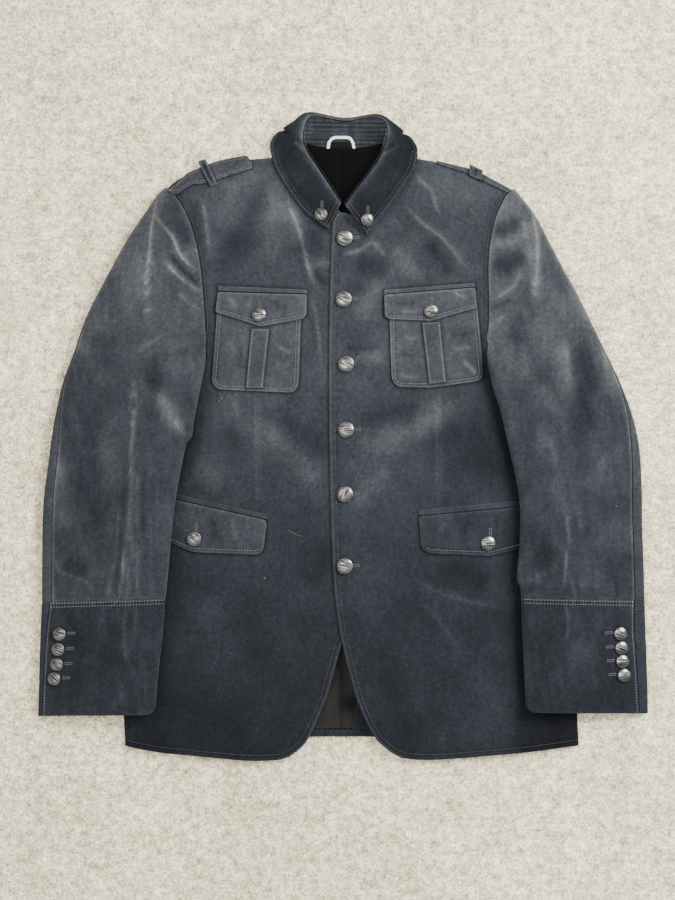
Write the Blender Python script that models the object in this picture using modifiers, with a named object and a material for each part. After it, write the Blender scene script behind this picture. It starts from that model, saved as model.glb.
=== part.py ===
"""Velvet jacket laid flat on its back, with stand-and-fall collar, epaulettes and buttoned cuffs.

Sizes in the tables are millimetres. The origin is under the middle of the laid garment, +Z is up,
+Y runs towards the collar, and +X is the wearer's left (the side that laps over).
"""
import bpy
import math
from mathutils import Vector
from mathutils.geometry import delaunay_2d_cdt

NAME = "blazer"
MM = 0.001

# Cloth thicknesses and clearances
CLOTH = 2.2
PANEL_BACK = 2.0
LINING = 1.0
SLEEVE_CLOTH = 2.0
TRIM = 1.5
SEAM = 0.6
REST = 0.35
OVERLAY = 0.5
RIDGE_CLEAR = 0.5

# How high the laid body rises, and how far in from each edge it takes to do so
BODY_LOFT = 14.0
SIDE_REACH = 130.0
SHOULDER_REACH = 38.0
HEM_REACH = 110.0
HEM_SHARE = 0.24
FRONT_FLOOR = PANEL_BACK + REST
OVERLAP_LIFT = CLOTH + 0.9
OVERLAP_FULL = 22.0
OVERLAP_GONE = 66.0
SLEEVE_FLARE = 0.9

UNDERARM_Y = 75.6
HEM_Y = -388.0
BACK_HEM_Y = -361.0
FACING_TOP_Y = -352.5
CENTRE_SEAM_X = -1.8

# Side edge of the body, x at each height y: right is the wearer's right, at -X
SIDE = {
    "right": [(-372, -262.0), (-317, -264.0), (-245, -264.0), (-149, -259.2), (-53, -250.8),
              (19, -246.0), (75.6, -243.6)],
    "left": [(-372, 283.6), (-317, 280.8), (-245, 277.2), (-149, 267.6), (-53, 255.6),
             (19, 249.6), (75.6, 246.0)],
}

# Shoulder line of each front, from the sleeve to the neck
SHOULDER = {
    "right": [(-211.5, 296.6), (-200.4, 307.0), (-178.8, 317.4), (-154.8, 324.8), (-123.6, 331.2),
              (-97.2, 333.8), (-56, 336.4)],
    "left": [(202.6, 295.8), (188.4, 304.2), (169.2, 313.2), (138, 323.6), (110.4, 329.8),
             (81.6, 334.6), (58, 336.6)],
}

# Largest folds of the fronts: ends, half width and height of each soft ridge
FRONT_FOLDS = [
    {"x1": -64, "y1": 268, "x2": -36, "y2": 200, "half": 13, "rise": 2.6},
    {"x1": 84, "y1": 262, "x2": 146, "y2": 200, "half": 14, "rise": 2.4},
    {"x1": -172, "y1": 284, "x2": -160, "y2": 214, "half": 12, "rise": 2.2},
    {"x1": 96, "y1": -206, "x2": 132, "y2": -250, "half": 14, "rise": 2.0},
    {"x1": 152, "y1": -188, "x2": 204, "y2": -206, "half": 14, "rise": 2.0},
]

# Sleeve cap: silhouette, front armhole and back armhole points, and loft over the floor
CAP = {
    "right": [
        {"out": (-322, 102), "front": (-163.6, 112), "back": (-230, 104), "loft": 20, "seam": 1.5},
        {"out": (-309.6, 138), "front": (-165, 144), "back": (-214, 134), "loft": 23, "seam": 1},
        {"out": (-293, 172), "front": (-167.4, 176), "back": (-204, 168), "loft": 24, "seam": 1},
        {"out": (-275, 206), "front": (-170.6, 206), "back": (-200, 202), "loft": 23, "seam": 1},
        {"out": (-256, 240), "front": (-177, 238), "back": (-201, 234), "loft": 20, "seam": 1},
        {"out": (-237, 268), "front": (-186.6, 265), "back": (-205.5, 262), "loft": 16, "seam": 1},
        {"out": (-222, 288), "front": (-201, 288.6), "back": (-210, 286), "loft": 11, "seam": 1},
    ],
    "left": [
        {"out": (308, 102), "front": (172.4, 112), "back": (234, 104), "loft": 20, "seam": 1.5},
        {"out": (290, 138), "front": (173.8, 144), "back": (219, 134), "loft": 23, "seam": 1},
        {"out": (277, 170), "front": (173.6, 176), "back": (209, 168), "loft": 24, "seam": 1},
        {"out": (256, 206), "front": (173.2, 206), "back": (205, 202), "loft": 23, "seam": 1},
        {"out": (241, 238), "front": (176.4, 238), "back": (206, 234), "loft": 20, "seam": 1},
        {"out": (228, 266), "front": (183.6, 265), "back": (203.5, 262), "loft": 16, "seam": 1},
        {"out": (214, 287), "front": (194.4, 287.6), "back": (202.5, 285), "loft": 11, "seam": 1},
    ],
}

# Closed rings of each sleeve: outer and inner edge, loft, and elbow seam's distance from the edge
RINGS = {
    "right": [
        {"out": (-333, 64), "in": (-163.8, 89.6), "loft": 17, "seam": 2},
        {"out": (-344, 30), "in": (-168.4, 64), "loft": 17, "seam": 5},
        {"out": (-348, -2), "in": (-175.6, 32), "loft": 17, "seam": 9},
        {"out": (-354, -36), "in": (-184.6, 0), "loft": 18, "seam": 11},
        {"out": (-358.6, -70), "in": (-192.6, -36), "loft": 18, "seam": 12},
        {"out": (-360.4, -104), "in": (-200, -78), "loft": 17, "seam": 12},
        {"out": (-361, -138), "in": (-204.8, -120), "loft": 16, "seam": 12},
        {"out": (-361.2, -170), "in": (-208.2, -160), "loft": 16, "seam": 12},
        {"out": (-361.2, -199.4), "in": (-211.6, -193.6), "loft": 16, "seam": 12},
    ],
    "left": [
        {"out": (326, 64), "in": (171.8, 89.6), "loft": 17, "seam": 2},
        {"out": (342.6, 30), "in": (178, 60), "loft": 17, "seam": 5},
        {"out": (350, -2), "in": (187, 32), "loft": 17, "seam": 9},
        {"out": (354, -36), "in": (196.4, -8), "loft": 18, "seam": 11},
        {"out": (357, -70), "in": (205.6, -48), "loft": 18, "seam": 12},
        {"out": (359, -104), "in": (211, -84), "loft": 17, "seam": 12},
        {"out": (360.2, -138), "in": (210.8, -124), "loft": 16, "seam": 12},
        {"out": (361.2, -170), "in": (209.6, -162), "loft": 16, "seam": 12},
        {"out": (362, -197.2), "in": (212.4, -192.6), "loft": 16, "seam": 12},
    ],
}
CUFF_RINGS = {
    "right": [
        {"out": (-361.4, -200.2), "in": (-211.8, -194.4), "loft": 16, "seam": 10},
        {"out": (-363, -236), "in": (-214.6, -232), "loft": 15.5, "seam": 7},
        {"out": (-364.2, -270), "in": (-218.4, -266), "loft": 15, "seam": 6},
        {"out": (-365, -304), "in": (-221.6, -300), "loft": 15, "seam": 5},
        {"out": (-366, -336), "in": (-223.6, -333), "loft": 14, "seam": 5},
    ],
    "left": [
        {"out": (362, -198), "in": (212.4, -193.4), "loft": 16, "seam": 13},
        {"out": (363, -232), "in": (213.4, -228), "loft": 15.5, "seam": 14},
        {"out": (364.4, -266), "in": (215, -262), "loft": 15, "seam": 13},
        {"out": (365.4, -300), "in": (216.6, -296), "loft": 15, "seam": 12},
        {"out": (366.2, -333), "in": (218, -330), "loft": 14, "seam": 11},
    ],
}
# Where the underarm point lies across a closed ring, from the outer edge to the inner one
UNDERARM_SHARE = 0.53
SLEEVE_FOLDS = {
    "right": [
        {"x1": -200, "y1": 236, "x2": -214, "y2": 90, "half": 13, "rise": 3.0},
        {"x1": -214, "y1": 80, "x2": -238, "y2": -80, "half": 14, "rise": 2.4},
        {"x1": -222, "y1": 46, "x2": -192, "y2": -4, "half": 12, "rise": 2.4},
        {"x1": -250, "y1": -20, "x2": -262, "y2": -180, "half": 14, "rise": 2.2},
        {"x1": -300, "y1": -90, "x2": -330, "y2": 30, "half": 15, "rise": 1.8},
    ],
    "left": [
        {"x1": 214, "y1": 240, "x2": 232, "y2": 150, "half": 13, "rise": 3.0},
        {"x1": 236, "y1": 120, "x2": 268, "y2": 0, "half": 15, "rise": 2.2},
        {"x1": 270, "y1": -100, "x2": 266, "y2": -190, "half": 14, "rise": 2.4},
        {"x1": 224, "y1": -190, "x2": 232, "y2": -130, "half": 12, "rise": 1.8},
        {"x1": 306, "y1": -30, "x2": 330, "y2": 60, "half": 15, "rise": 1.8},
    ],
}

# Collar, a row for each section from the right front round the neck to the left front.
# roll is where the fall begins, rim the farthest point seen from above, edge the fall's free edge
# once it has folded beneath, seam the stand's lower edge, top the height of the roll.
COLLAR = [
    {"roll": (-2, 278), "rim": (-24, 246), "seam": (-6, 273), "top": 28.0, "folds": 0.0},
    {"roll": (-16, 299), "rim": (-46, 268), "seam": (-20.4, 294.8), "top": 28.0, "folds": 0.0},
    {"roll": (-30, 320.4), "rim": (-66.5, 295.2), "seam": (-35.2, 317), "top": 28.0, "folds": 0.0},
    {"roll": (-42, 338.4), "rim": (-81, 321.6), "seam": (-48, 336), "top": 24.5, "folds": 0.0},
    {"roll": (-47.4, 352.4), "rim": (-86.4, 342), "seam": (-48.6, 350.8), "top": 19.0,
     "folds": 0.12, "edge": (-84, 343)},
    {"roll": (-48, 366), "rim": (-77.6, 359.6), "seam": (-45.6, 351.4), "top": 13.5,
     "folds": 0.6, "edge": (-66, 354.4)},
    {"roll": (-43.6, 379.6), "rim": (-61, 375.4), "seam": (-38.4, 350), "top": 9.6,
     "folds": 1.0, "edge": (-50, 354.6)},
    {"roll": (-31, 384.4), "rim": (-39, 388.6), "seam": (-26, 347.4), "top": 8.0,
     "folds": 1.0, "edge": (-32, 351.4)},
    {"roll": (1.6, 382.6), "rim": (1.6, 387.4), "seam": (0, 345), "top": 7.4,
     "folds": 1.0, "edge": (1.6, 348.4)},
    {"roll": (35, 384.4), "rim": (43, 387.6), "seam": (26, 347.4), "top": 8.0,
     "folds": 1.0, "edge": (34, 351.4)},
    {"roll": (49.4, 379), "rim": (62, 372.4), "seam": (40, 350), "top": 9.6,
     "folds": 1.0, "edge": (51, 354.6)},
    {"roll": (54, 366), "rim": (75.4, 356.4), "seam": (47.4, 351.4), "top": 13.5,
     "folds": 0.6, "edge": (66, 353.6)},
    {"roll": (50.4, 350.4), "rim": (88.4, 337.6), "seam": (50.4, 350.2), "top": 19.0,
     "folds": 0.12, "edge": (86, 338.6)},
    {"roll": (44.4, 333.6), "rim": (85.4, 319.2), "seam": (50.4, 331.2), "top": 25.5, "folds": 0.0},
    {"roll": (30, 312), "rim": (68.6, 292.8), "seam": (35.2, 309.2), "top": 29.5, "folds": 0.0},
    {"roll": (15.6, 294), "rim": (49.4, 266.4), "seam": (19.6, 290.4), "top": 31.0, "folds": 0.0},
    {"roll": (2, 275), "rim": (28.1, 240.6), "seam": (5.2, 270.8), "top": 31.0, "folds": 0.0},
]
FALL_CLOTH = 2.2
STAND_CLOTH = 1.5
ROLL_DEPTH = 3.0
STAND_CLEAR = 2.5
NECK_CENTRE = (2.0, 345.0)

# Patches on the fronts, each a list of straight-sided corners; radius rounds the corners
CHEST_POCKET = {
    "right": [(-150, 157), (-50, 157), (-53.4, 60), (-60, 51.6), (-150, 55.6), (-157.2, 64)],
    "left": [(55, 157), (159.6, 163), (168, 72), (161, 65.4), (104, 57.6), (65, 58.6), (58, 67)],
}
CHEST_PLEAT = {
    "right": [(-109.4, 128.2), (-88.4, 127.8), (-96, 57.2), (-116.2, 57.2)],
    "left": [(94.4, 135), (115.6, 136.2), (122.8, 64.6), (102.8, 62.6)],
}
CHEST_FLAP = {
    "right": [(-149.6, 171.8), (-43.4, 168.8), (-43.8, 145), (-48.4, 140), (-98.6, 130.8),
              (-152.6, 148.2)],
    "left": [(49.2, 168.6), (157.6, 177), (160, 153.4), (105, 137.6), (54.6, 139.6), (49.8, 143.4)],
}
CHEST_WELT = {
    "right": [(-148.8, 179.4), (-43, 174.6), (-43, 170.2), (-149.4, 173.4)],
    "left": [(49.2, 174.4), (157, 183), (157.4, 178.4), (49.2, 169.8)],
}
HIP_FLAP = {
    "right": [(-232, -72), (-199.7, -76.6), (-91, -101), (-95.2, -136), (-102, -142), (-179.6, -139),
              (-232, -118)],
    "left": [(90.4, -96.4), (210, -85.4), (238, -83.4), (240, -124), (210, -134.9),
             (176.6, -143.4), (102.4, -140.4), (93.6, -134.6)],
}
HIP_WELT = {
    "right": [(-230, -64.6), (-198.5, -69.8), (-90.8, -93.8), (-90.8, -99.6), (-199.6, -75.2),
              (-230, -70.4)],
    "left": [(90.2, -88.8), (210, -77.6), (236, -75.4), (236, -82), (210, -84), (90.2, -95)],
}
EPAULETTE = {
    "right": [(-211.4, 294), (-186, 316.4), (-170.4, 322.8), (-155, 329), (-133.7, 334.2),
              (-115.2, 336.8), (-109, 328), (-109.2, 321.2), (-145.9, 309), (-161.2, 302.9),
              (-181.2, 301.4), (-200.4, 289)],
    "left": [(202.6, 296), (168, 314.6), (149.8, 321.4), (111.5, 330.8), (114.5, 326.6),
             (151.2, 315.1), (162, 309), (197.2, 292.2)],
}
EPAULETTE_LOOP = {
    "right": [(-174.6, 329.4), (-165.2, 332.6), (-150.4, 301.4), (-158.4, 298.6)],
    "left": [(151.6, 326), (167.6, 318.8), (167.2, 306), (151.4, 312.4)],
}

# Buttons: place, radius and what each lies on
BUTTON_RISE = 4.2
FRONT_BUTTONS = [(1.8, 236.4), (0.7, 163.4), (3.6, 85.9), (3.6, 7.2), (2.4, -69.6), (2.2, -155.5)]
FRONT_BUTTON_RADIUS = 9.8
COLLAR_BUTTONS = {"right": (-26.2, 264.6), "left": (28.6, 258)}
COLLAR_BUTTON_RADIUS = 7.8
CHEST_BUTTONS = {"right": (-100.4, 145), "left": (104.9, 149)}
CHEST_BUTTON_RADIUS = 8.4
HIP_BUTTONS = {"right": (-178.1, -123.1), "left": (173.4, -128.4)}
HIP_BUTTON_RADIUS = 8.9
CUFF_BUTTONS = {
    "right": [(-339.1, -237.2), (-340.8, -255.5), (-342.5, -273.6), (-345.4, -290.6)],
    "left": [(331.7, -236.6), (333.0, -253.6), (334.2, -269.8), (336.2, -286.4)],
}
CUFF_BUTTON_RADIUS = 8.0

SIGN = {"right": -1.0, "left": 1.0}

# Look of each material: colour, roughness, metallic
LOOKS = {
    "velvet": ((0.075, 0.085, 0.105), 0.9, 0.0),
    "lining": ((0.02, 0.022, 0.028), 0.35, 0.0),
    "button": ((0.42, 0.42, 0.43), 0.35, 1.0),
    "label": ((0.5, 0.5, 0.48), 0.8, 0.0),
}


def clear_scene():
    for item in list(bpy.data.objects):
        bpy.data.objects.remove(item, do_unlink=True)


def clamp(value, low=0.0, high=1.0):
    return max(low, min(high, value))


def ease(value):
    """Smooth step from 0 to 1."""
    u = clamp(value)
    return u * u * (3.0 - 2.0 * u)


def lens(value):
    """Rise of cloth from a folded edge: steep at the edge, level at 1."""
    u = clamp(value)
    return 1.0 - (1.0 - u) * (1.0 - u)


def along(table, key):
    """Value of a two-column table at key, straight between its rows."""
    rows = sorted(table)
    if key <= rows[0][0]:
        return rows[0][1]
    for (k0, v0), (k1, v1) in zip(rows, rows[1:]):
        if key <= k1:
            return v0 + (v1 - v0) * (key - k0) / (k1 - k0)
    return rows[-1][1]


def catmull(p0, p1, p2, p3, u):
    """Point of the smooth curve between p1 and p2."""
    result = []
    for a, b, c, d in zip(p0, p1, p2, p3):
        result.append(0.5 * (2 * b + (c - a) * u + (2 * a - 5 * b + 4 * c - d) * u * u
                             + (3 * b - a - 3 * c + d) * u ** 3))
    return tuple(result)


def curve_through(points, step):
    """Smooth curve through a run of points, with a point about every step."""
    result = [tuple(points[0])]
    last = len(points) - 1
    for i in range(last):
        p0 = points[max(i - 1, 0)]
        p1 = points[i]
        p2 = points[i + 1]
        p3 = points[min(i + 2, last)]
        count = max(1, round(math.dist(p1, p2) / step))
        for k in range(1, count + 1):
            result.append(catmull(p0, p1, p2, p3, k / count))
    return result


def straight_through(points, step):
    """Straight runs between corners, with a point about every step."""
    result = [tuple(points[0])]
    for p1, p2 in zip(points, points[1:]):
        count = max(1, round(math.dist(p1, p2) / step))
        for k in range(1, count + 1):
            u = k / count
            result.append((p1[0] + (p2[0] - p1[0]) * u, p1[1] + (p2[1] - p1[1]) * u))
    return result


def join_runs(runs):
    """One closed outline from runs that meet end to end."""
    outline = []
    for run in runs:
        for point in run:
            if not outline or math.dist(point, outline[-1]) > 0.5:
                outline.append(point)
    if math.dist(outline[0], outline[-1]) < 0.5:
        outline.pop()
    return outline


def refine_rows(rows, parts):
    """Smoothly interpolated rows of a table whose columns are numbers or points."""
    result = []
    last = len(rows) - 1
    for i in range(last):
        for k in range(parts):
            result.append(blend_rows(rows, i, k / parts))
    result.append(dict(rows[last]))
    return result


def blend_rows(rows, i, u):
    last = len(rows) - 1
    four = [rows[max(i - 1, 0)], rows[i], rows[i + 1], rows[min(i + 2, last)]]
    row = {}
    for key, value in rows[i].items():
        columns = [r[key] for r in four]
        if isinstance(value, tuple):
            row[key] = catmull(*columns, u)
        else:
            row[key] = catmull(*[(c,) for c in columns], u)[0]
    return row


def fold_height(folds, x, y):
    """Soft ridges, each a line that fades at its ends."""
    total = 0.0
    for fold in folds:
        dx = fold["x2"] - fold["x1"]
        dy = fold["y2"] - fold["y1"]
        length2 = dx * dx + dy * dy
        u = ((x - fold["x1"]) * dx + (y - fold["y1"]) * dy) / length2
        across = ((x - fold["x1"]) * dy - (y - fold["y1"]) * dx) / math.sqrt(length2)
        if -0.25 < u < 1.25:
            fade = ease((u + 0.25) / 0.45) * ease((1.25 - u) / 0.45)
            total += fold["rise"] * fade * math.exp(-(across / fold["half"]) ** 2)
    return total


def side_of(x):
    return "left" if x > 0 else "right"


def side_edge(side, y):
    """How far out the laid body reaches at height y; above the underarm it runs out with the cap."""
    reach = abs(along(SIDE[side], y))
    if y > UNDERARM_Y:
        reach += SLEEVE_FLARE * (y - UNDERARM_Y)
    return reach


def body_height(x, y):
    """Underside of the fronts: how high the laid body stands."""
    side = side_of(x)
    inward = side_edge(side, y) - abs(x)
    across = lens(inward / SIDE_REACH)
    from_hem = HEM_SHARE + (1.0 - HEM_SHARE) * lens((y - HEM_Y) / HEM_REACH)
    shoulder = lens((along(SHOULDER[side], x) - y) / SHOULDER_REACH)
    rise = 1.2 * lens(inward / 22.0)
    folds = fold_height(FRONT_FOLDS, x, y) * shoulder
    return FRONT_FLOOR + rise + BODY_LOFT * across * from_hem * shoulder + folds


def overlap_lift(x):
    """The left front rides over the right one near the middle."""
    return OVERLAP_LIFT * (1.0 - ease((x - OVERLAP_FULL) / (OVERLAP_GONE - OVERLAP_FULL)))


def front_under(side, x, y):
    if side == "left":
        return body_height(x, y) + overlap_lift(x)
    return body_height(x, y)


def slope_factor(height, x, y):
    """Vertical depth of a sheet for each millimetre of its thickness."""
    dx = (height(x + 1, y) - height(x - 1, y)) / 2
    dy = (height(x, y + 1) - height(x, y - 1)) / 2
    return math.sqrt(1 + dx * dx + dy * dy)


def front_top(side, x, y):
    def under(px, py):
        return front_under(side, px, py)
    return under(x, y) + CLOTH * slope_factor(under, x, y)


def on_front(side, lift):
    """Height function of something that lies on a front, raised by lift."""
    def height(x, y):
        return front_top(side, x, y) + OVERLAY + lift
    return height


def sleeve_margin(y):
    """Clearance of a sleeve over the front: more where a hip flap runs under it."""
    return 1.5 + 2.0 * ease(-y / 60.0)


def sleeve_under(x, y):
    """Underside of a sleeve: on the floor outside the body, over the front inside it."""
    side = side_of(x)
    edge = side_edge(side, min(y, UNDERARM_Y))
    outward = abs(x) - edge
    margin = sleeve_margin(y)
    line = UNDERARM_Y + (edge - abs(x)) * 0.164
    above = 1.0 - ease((y - line - 2.0) / 36.0)
    inside_x = SIGN[side] * min(abs(x), edge)
    base = front_top(side, inside_x, min(y, line)) + margin
    return base * above * (1.0 - ease((outward - 3.0) / 46.0))


def material(key):
    found = bpy.data.materials.get(key)
    if found:
        return found
    colour, roughness, metallic = LOOKS[key]
    made = bpy.data.materials.new(key)
    made.use_nodes = True
    shader = made.node_tree.nodes["Principled BSDF"]
    shader.inputs["Base Color"].default_value = (*colour, 1)
    shader.inputs["Roughness"].default_value = roughness
    shader.inputs["Metallic"].default_value = metallic
    made.diffuse_color = (*colour, 1)
    return made


def add_object(name, vertices, faces, look, collection):
    """Mesh object from points in millimetres."""
    mesh = bpy.data.meshes.new(name)
    mesh.from_pydata([Vector(v) * MM for v in vertices], [], faces)
    mesh.materials.append(material(look).copy())
    mesh.materials[0].name = look + "_" + name
    mesh.shade_smooth()
    item = bpy.data.objects.new(name, mesh)
    collection.objects.link(item)
    return item


def thicken(item, thickness, offset):
    """Give an open surface its cloth thickness, in millimetres."""
    solid = item.modifiers.new("thickness", 'SOLIDIFY')
    solid.thickness = thickness * MM
    solid.offset = offset
    solid.use_even_offset = False
    return item


def inside(outline, x, y):
    """Whether a point lies inside a closed outline."""
    found = False
    previous = outline[-1]
    for current in outline:
        if (current[1] > y) != (previous[1] > y):
            cross = (previous[0] - current[0]) * (y - current[1]) / (previous[1] - current[1])
            if x < cross + current[0]:
                found = not found
        previous = current
    return found


def fill_points(outline, spacing_at, levels):
    """Points inside an outline on triangular grids, closer where spacing_at asks for it."""
    xs = [p[0] for p in outline]
    ys = [p[1] for p in outline]
    kept = []
    for level in levels:
        rows = int((max(ys) - min(ys)) / (level * 0.866)) + 1
        columns = int((max(xs) - min(xs)) / level) + 1
        for row in range(rows):
            y = min(ys) + (row + 0.5) * level * 0.866
            for column in range(columns):
                x = min(xs) + (column + 0.25 + 0.5 * (row % 2)) * level
                if spacing_at(x, y) != level or not inside(outline, x, y):
                    continue
                near = min(math.dist((x, y), p) for p in outline)
                if near < 0.5 * level:
                    continue
                if kept and min(math.dist((x, y), p) for p in kept) < 0.7 * level:
                    continue
                kept.append((x, y))
    return kept


def sheet(name, outline, height, thickness, look, collection, inner=()):
    """Cloth cut to an outline, its underside at height(x, y), thickened upwards."""
    points = list(outline) + list(inner)
    count = len(outline)
    edges = [(i, (i + 1) % count) for i in range(count)]
    found = delaunay_2d_cdt([Vector(p) for p in points], edges, [], 1, 1e-5)
    flat, _, faces = found[0], found[1], found[2]
    vertices = [(p.x, p.y, height(p.x, p.y)) for p in flat]
    turned = []
    for face in faces:
        a, b, c = (flat[i] for i in face[:3])
        up = (b - a).cross(c - a) > 0
        turned.append(list(face) if up else list(reversed(face)))
    item = add_object(name, vertices, turned, look, collection)
    return thicken(item, thickness, 1.0)


def level_at(z):
    def height(x, y):
        return z
    return height


def front_spacing(x, y):
    """Mesh size on a front: finer at the shoulder and on the folds."""
    side = side_of(x)
    if along(SHOULDER[side], x) - y < 42:
        return 10
    if fold_height(FRONT_FOLDS, x, y) > 0.5:
        return 14
    return 24


def cap_rows(side):
    return refine_rows(CAP[side], 2)


def armhole_front(side):
    """Front armhole seam from the underarm up to the shoulder."""
    start = RINGS[side][0]["in"]
    points = [(start[0], start[1] - SEAM)] + [row["front"] for row in cap_rows(side)]
    return points + [SHOULDER[side][0]]


def armhole_back(side):
    x = along(SIDE[side], UNDERARM_Y)
    points = [(x, UNDERARM_Y)] + [row["back"] for row in cap_rows(side)]
    return points + [SHOULDER[side][0]]


def build_front(side, neck, opening, hem, collection):
    """A front: side, straight hidden underarm, armhole, shoulder, neck, opening edge and hem."""
    side_run = [(x, y) for y, x in SIDE[side]]
    armhole = armhole_front(side)
    runs = [
        curve_through(side_run, 26),
        straight_through([side_run[-1], armhole[0]], 22),
        armhole,
        curve_through(SHOULDER[side], 9),
        curve_through(neck, 12),
        curve_through(opening, 22),
        curve_through(hem, 24),
    ]
    outline = join_runs(runs)
    inner = fill_points(outline, front_spacing, (10, 14, 24))

    def height(x, y):
        return front_under(side, x, y)
    return sheet("front_" + side, outline, height, CLOTH, "velvet", collection, inner)


def build_fronts(collection):
    neck = [(-56, 336.4), (-40, 317), (-26, 297), (-12, 277), (4, 262), (17, 250)]
    opening = [(17, 250), (18, 163), (18, -100), (14.4, -196.8), (7.2, -226.8), (-3, -254),
               (-20, -313), (-38.8, -356.9), (-48.7, -372.4), (-64.2, -384.6), (-77.5, -389)]
    hem = [(-77.5, -389), (-109.2, -390), (-153, -386.8), (-186.4, -383.5), (-219.6, -380.2),
           (-249.6, -375), (-262, -372)]
    build_front("right", neck, opening, hem, collection)
    neck = [(58, 336.6), (44, 316), (32, 295), (27, 270), (28, 250), (24, 243.6)]
    opening = [(24, 243.6), (16, 249), (7, 256.4), (-2, 261.6), (-8.6, 259), (-12.6, 245),
               (-15.6, 163.2), (-16.8, 67.2), (-15.6, -40.8), (-12, -157.2), (-6.4, -217.2),
               (2.4, -262), (18, -319.2), (37, -358.8), (49.2, -372.4), (60.2, -381.2),
               (71.4, -386.8)]
    hem = [(71.4, -386.8), (93.6, -388.8), (126.8, -388), (182.4, -383.5), (226.8, -379.2),
           (271.2, -373.4), (283.6, -372)]
    build_front("left", neck, opening, hem, collection)


def build_back(collection):
    """Two flat back panels, the hem facing, the vent facing and the lining on them."""
    for side, sign in SIGN.items():
        side_run = [(x, y) for y, x in SIDE[side]]
        side_run[0] = (side_run[0][0] - sign * 1.5, BACK_HEM_Y - 6.0)
        shoulder = SHOULDER[side]
        centre = CENTRE_SEAM_X + sign * SEAM / 2
        runs = [
            curve_through(side_run, 26),
            armhole_back(side),
            curve_through(shoulder, 20),
            [shoulder[-1], (sign * 50, 341.6), (sign * 30, 341), (centre, 340.4)],
            [(centre, BACK_HEM_Y)],
            curve_through([(centre, BACK_HEM_Y), (sign * 75, -362.4), (sign * 180, -364.8),
                           side_run[0]], 40),
        ]
        sheet("back_" + side, join_runs(runs), level_at(0.0), PANEL_BACK, "velvet", collection)
    lining_z = PANEL_BACK + REST
    lining = join_runs([
        [(-222, FACING_TOP_Y), (222, FACING_TOP_Y), (212, 40), (160, 90), (150, 250), (120, 286)],
        [(70, 300), (52, 330), (49, 346)],
        curve_through([(49, 346), (28, 344.6), (0, 342.6), (-28, 344.6), (-48, 346)], 14),
        [(-52, 330), (-70, 300), (-120, 286), (-150, 250), (-160, 90), (-212, 40)],
    ])
    sheet("back_lining", lining, level_at(lining_z), LINING, "lining", collection)
    facing = [(-100, FACING_TOP_Y - SEAM), (-100, BACK_HEM_Y), (104, BACK_HEM_Y),
              (104, FACING_TOP_Y - SEAM)]
    sheet("back_hem_facing", facing, level_at(lining_z), 1.3, "velvet", collection)
    vent = [(12.4, FACING_TOP_Y + 0.6), (62, FACING_TOP_Y + 0.6), (62, -250), (26, -250),
            (17.4, -318)]
    sheet("vent_facing", vent, level_at(lining_z + LINING + REST), 1.2, "velvet", collection)


def ring_shape(t):
    """Height share of a flattened tube across its width: blunt at both edges."""
    return (1.0 - abs(2.0 * t - 1.0) ** 3) ** (1.0 / 3.0)


def share_at(theta):
    """Share of the width passed at an angle round the ring, from 0 at one edge to 1 at the other."""
    c = math.cos(theta)
    return 0.5 - 0.5 * math.copysign(abs(c) ** (2.0 / 3.0), c)


def lerp(a, b, t):
    return tuple(p + (q - p) * t for p, q in zip(a, b))


def toward(a, b, distance):
    """Point a moved by a distance towards b."""
    return lerp(a, b, distance / math.dist(a, b))


def top_point(side, row, t, closed):
    """Outer surface of a sleeve's upper side; t is 0 at the outer edge, 1 at the inner."""
    inner = row["in"] if closed else toward(row["front"], row["out"], SEAM)
    x, y = lerp(row["out"], inner, t)
    loft = row["loft"]
    shape = ring_shape(t)
    if closed:
        seat = sleeve_under(*row["in"])
        z = seat * ease(t) + loft / 2 * (1 + shape)
    else:
        seam_z = front_top(side, *row["front"])
        outer_half = loft / 2 * (1 + shape)
        z = outer_half if t < 0.5 else loft + (seam_z - loft) * ease(2 * t - 1)
    z += fold_height(SLEEVE_FOLDS[side], x, y) * min(1.0, shape * 1.02) ** 4
    return (x, y, z)


def under_point(row, t, closed):
    """Outer surface of a sleeve's lower side, flat where it meets the floor."""
    loft = row["loft"]
    if closed:
        x, y = lerp(row["out"], row["in"], t)
    else:
        back = toward(row["back"], row["out"], SEAM)
        x, y = lerp(row["out"], back, t / UNDERARM_SHARE)
    shape = min(1.0, ring_shape(t) * 1.08)
    return (x, y, sleeve_under(x, y) + loft / 2 * (1.0 - shape))


def seam_share(row, closed):
    inner = row["in"] if closed else row["front"]
    return row["seam"] / math.dist(row["out"], inner)


TOP_COLUMNS = 11
OUTER_COLUMNS = 3
FLOOR_COLUMNS = 6
INNER_COLUMNS = 5
# Short first step at a folded edge or seam, so that the wall's end stands square there
EDGE_STEP = 0.05
SEAM_STEP = 1.2


def angle_of(t):
    """Angle round the ring from the inner edge for a place t across the width."""
    c = 1.0 - 2.0 * (1.0 - t)
    return math.acos(math.copysign(abs(c) ** 1.5, c))


def top_strip(side, row, closed):
    """Points of the top sleeve across one row, from the inner edge to the elbow seam."""
    width = math.dist(row["out"], row["in"] if closed else row["front"])
    stop = seam_share(row, closed) + SEAM / 2 / width
    end_angle = angle_of(stop)
    angles = [0.0, EDGE_STEP]
    angles += [end_angle * k / TOP_COLUMNS for k in range(1, TOP_COLUMNS)]
    angles += [angle_of(stop + SEAM_STEP / width), end_angle]
    points = [top_point(side, row, 1.0 - share_at(a), closed) for a in angles]
    if closed:
        points[0] = (points[0][0], points[0][1], points[0][2] + SEAM / 2)
    return points


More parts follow.
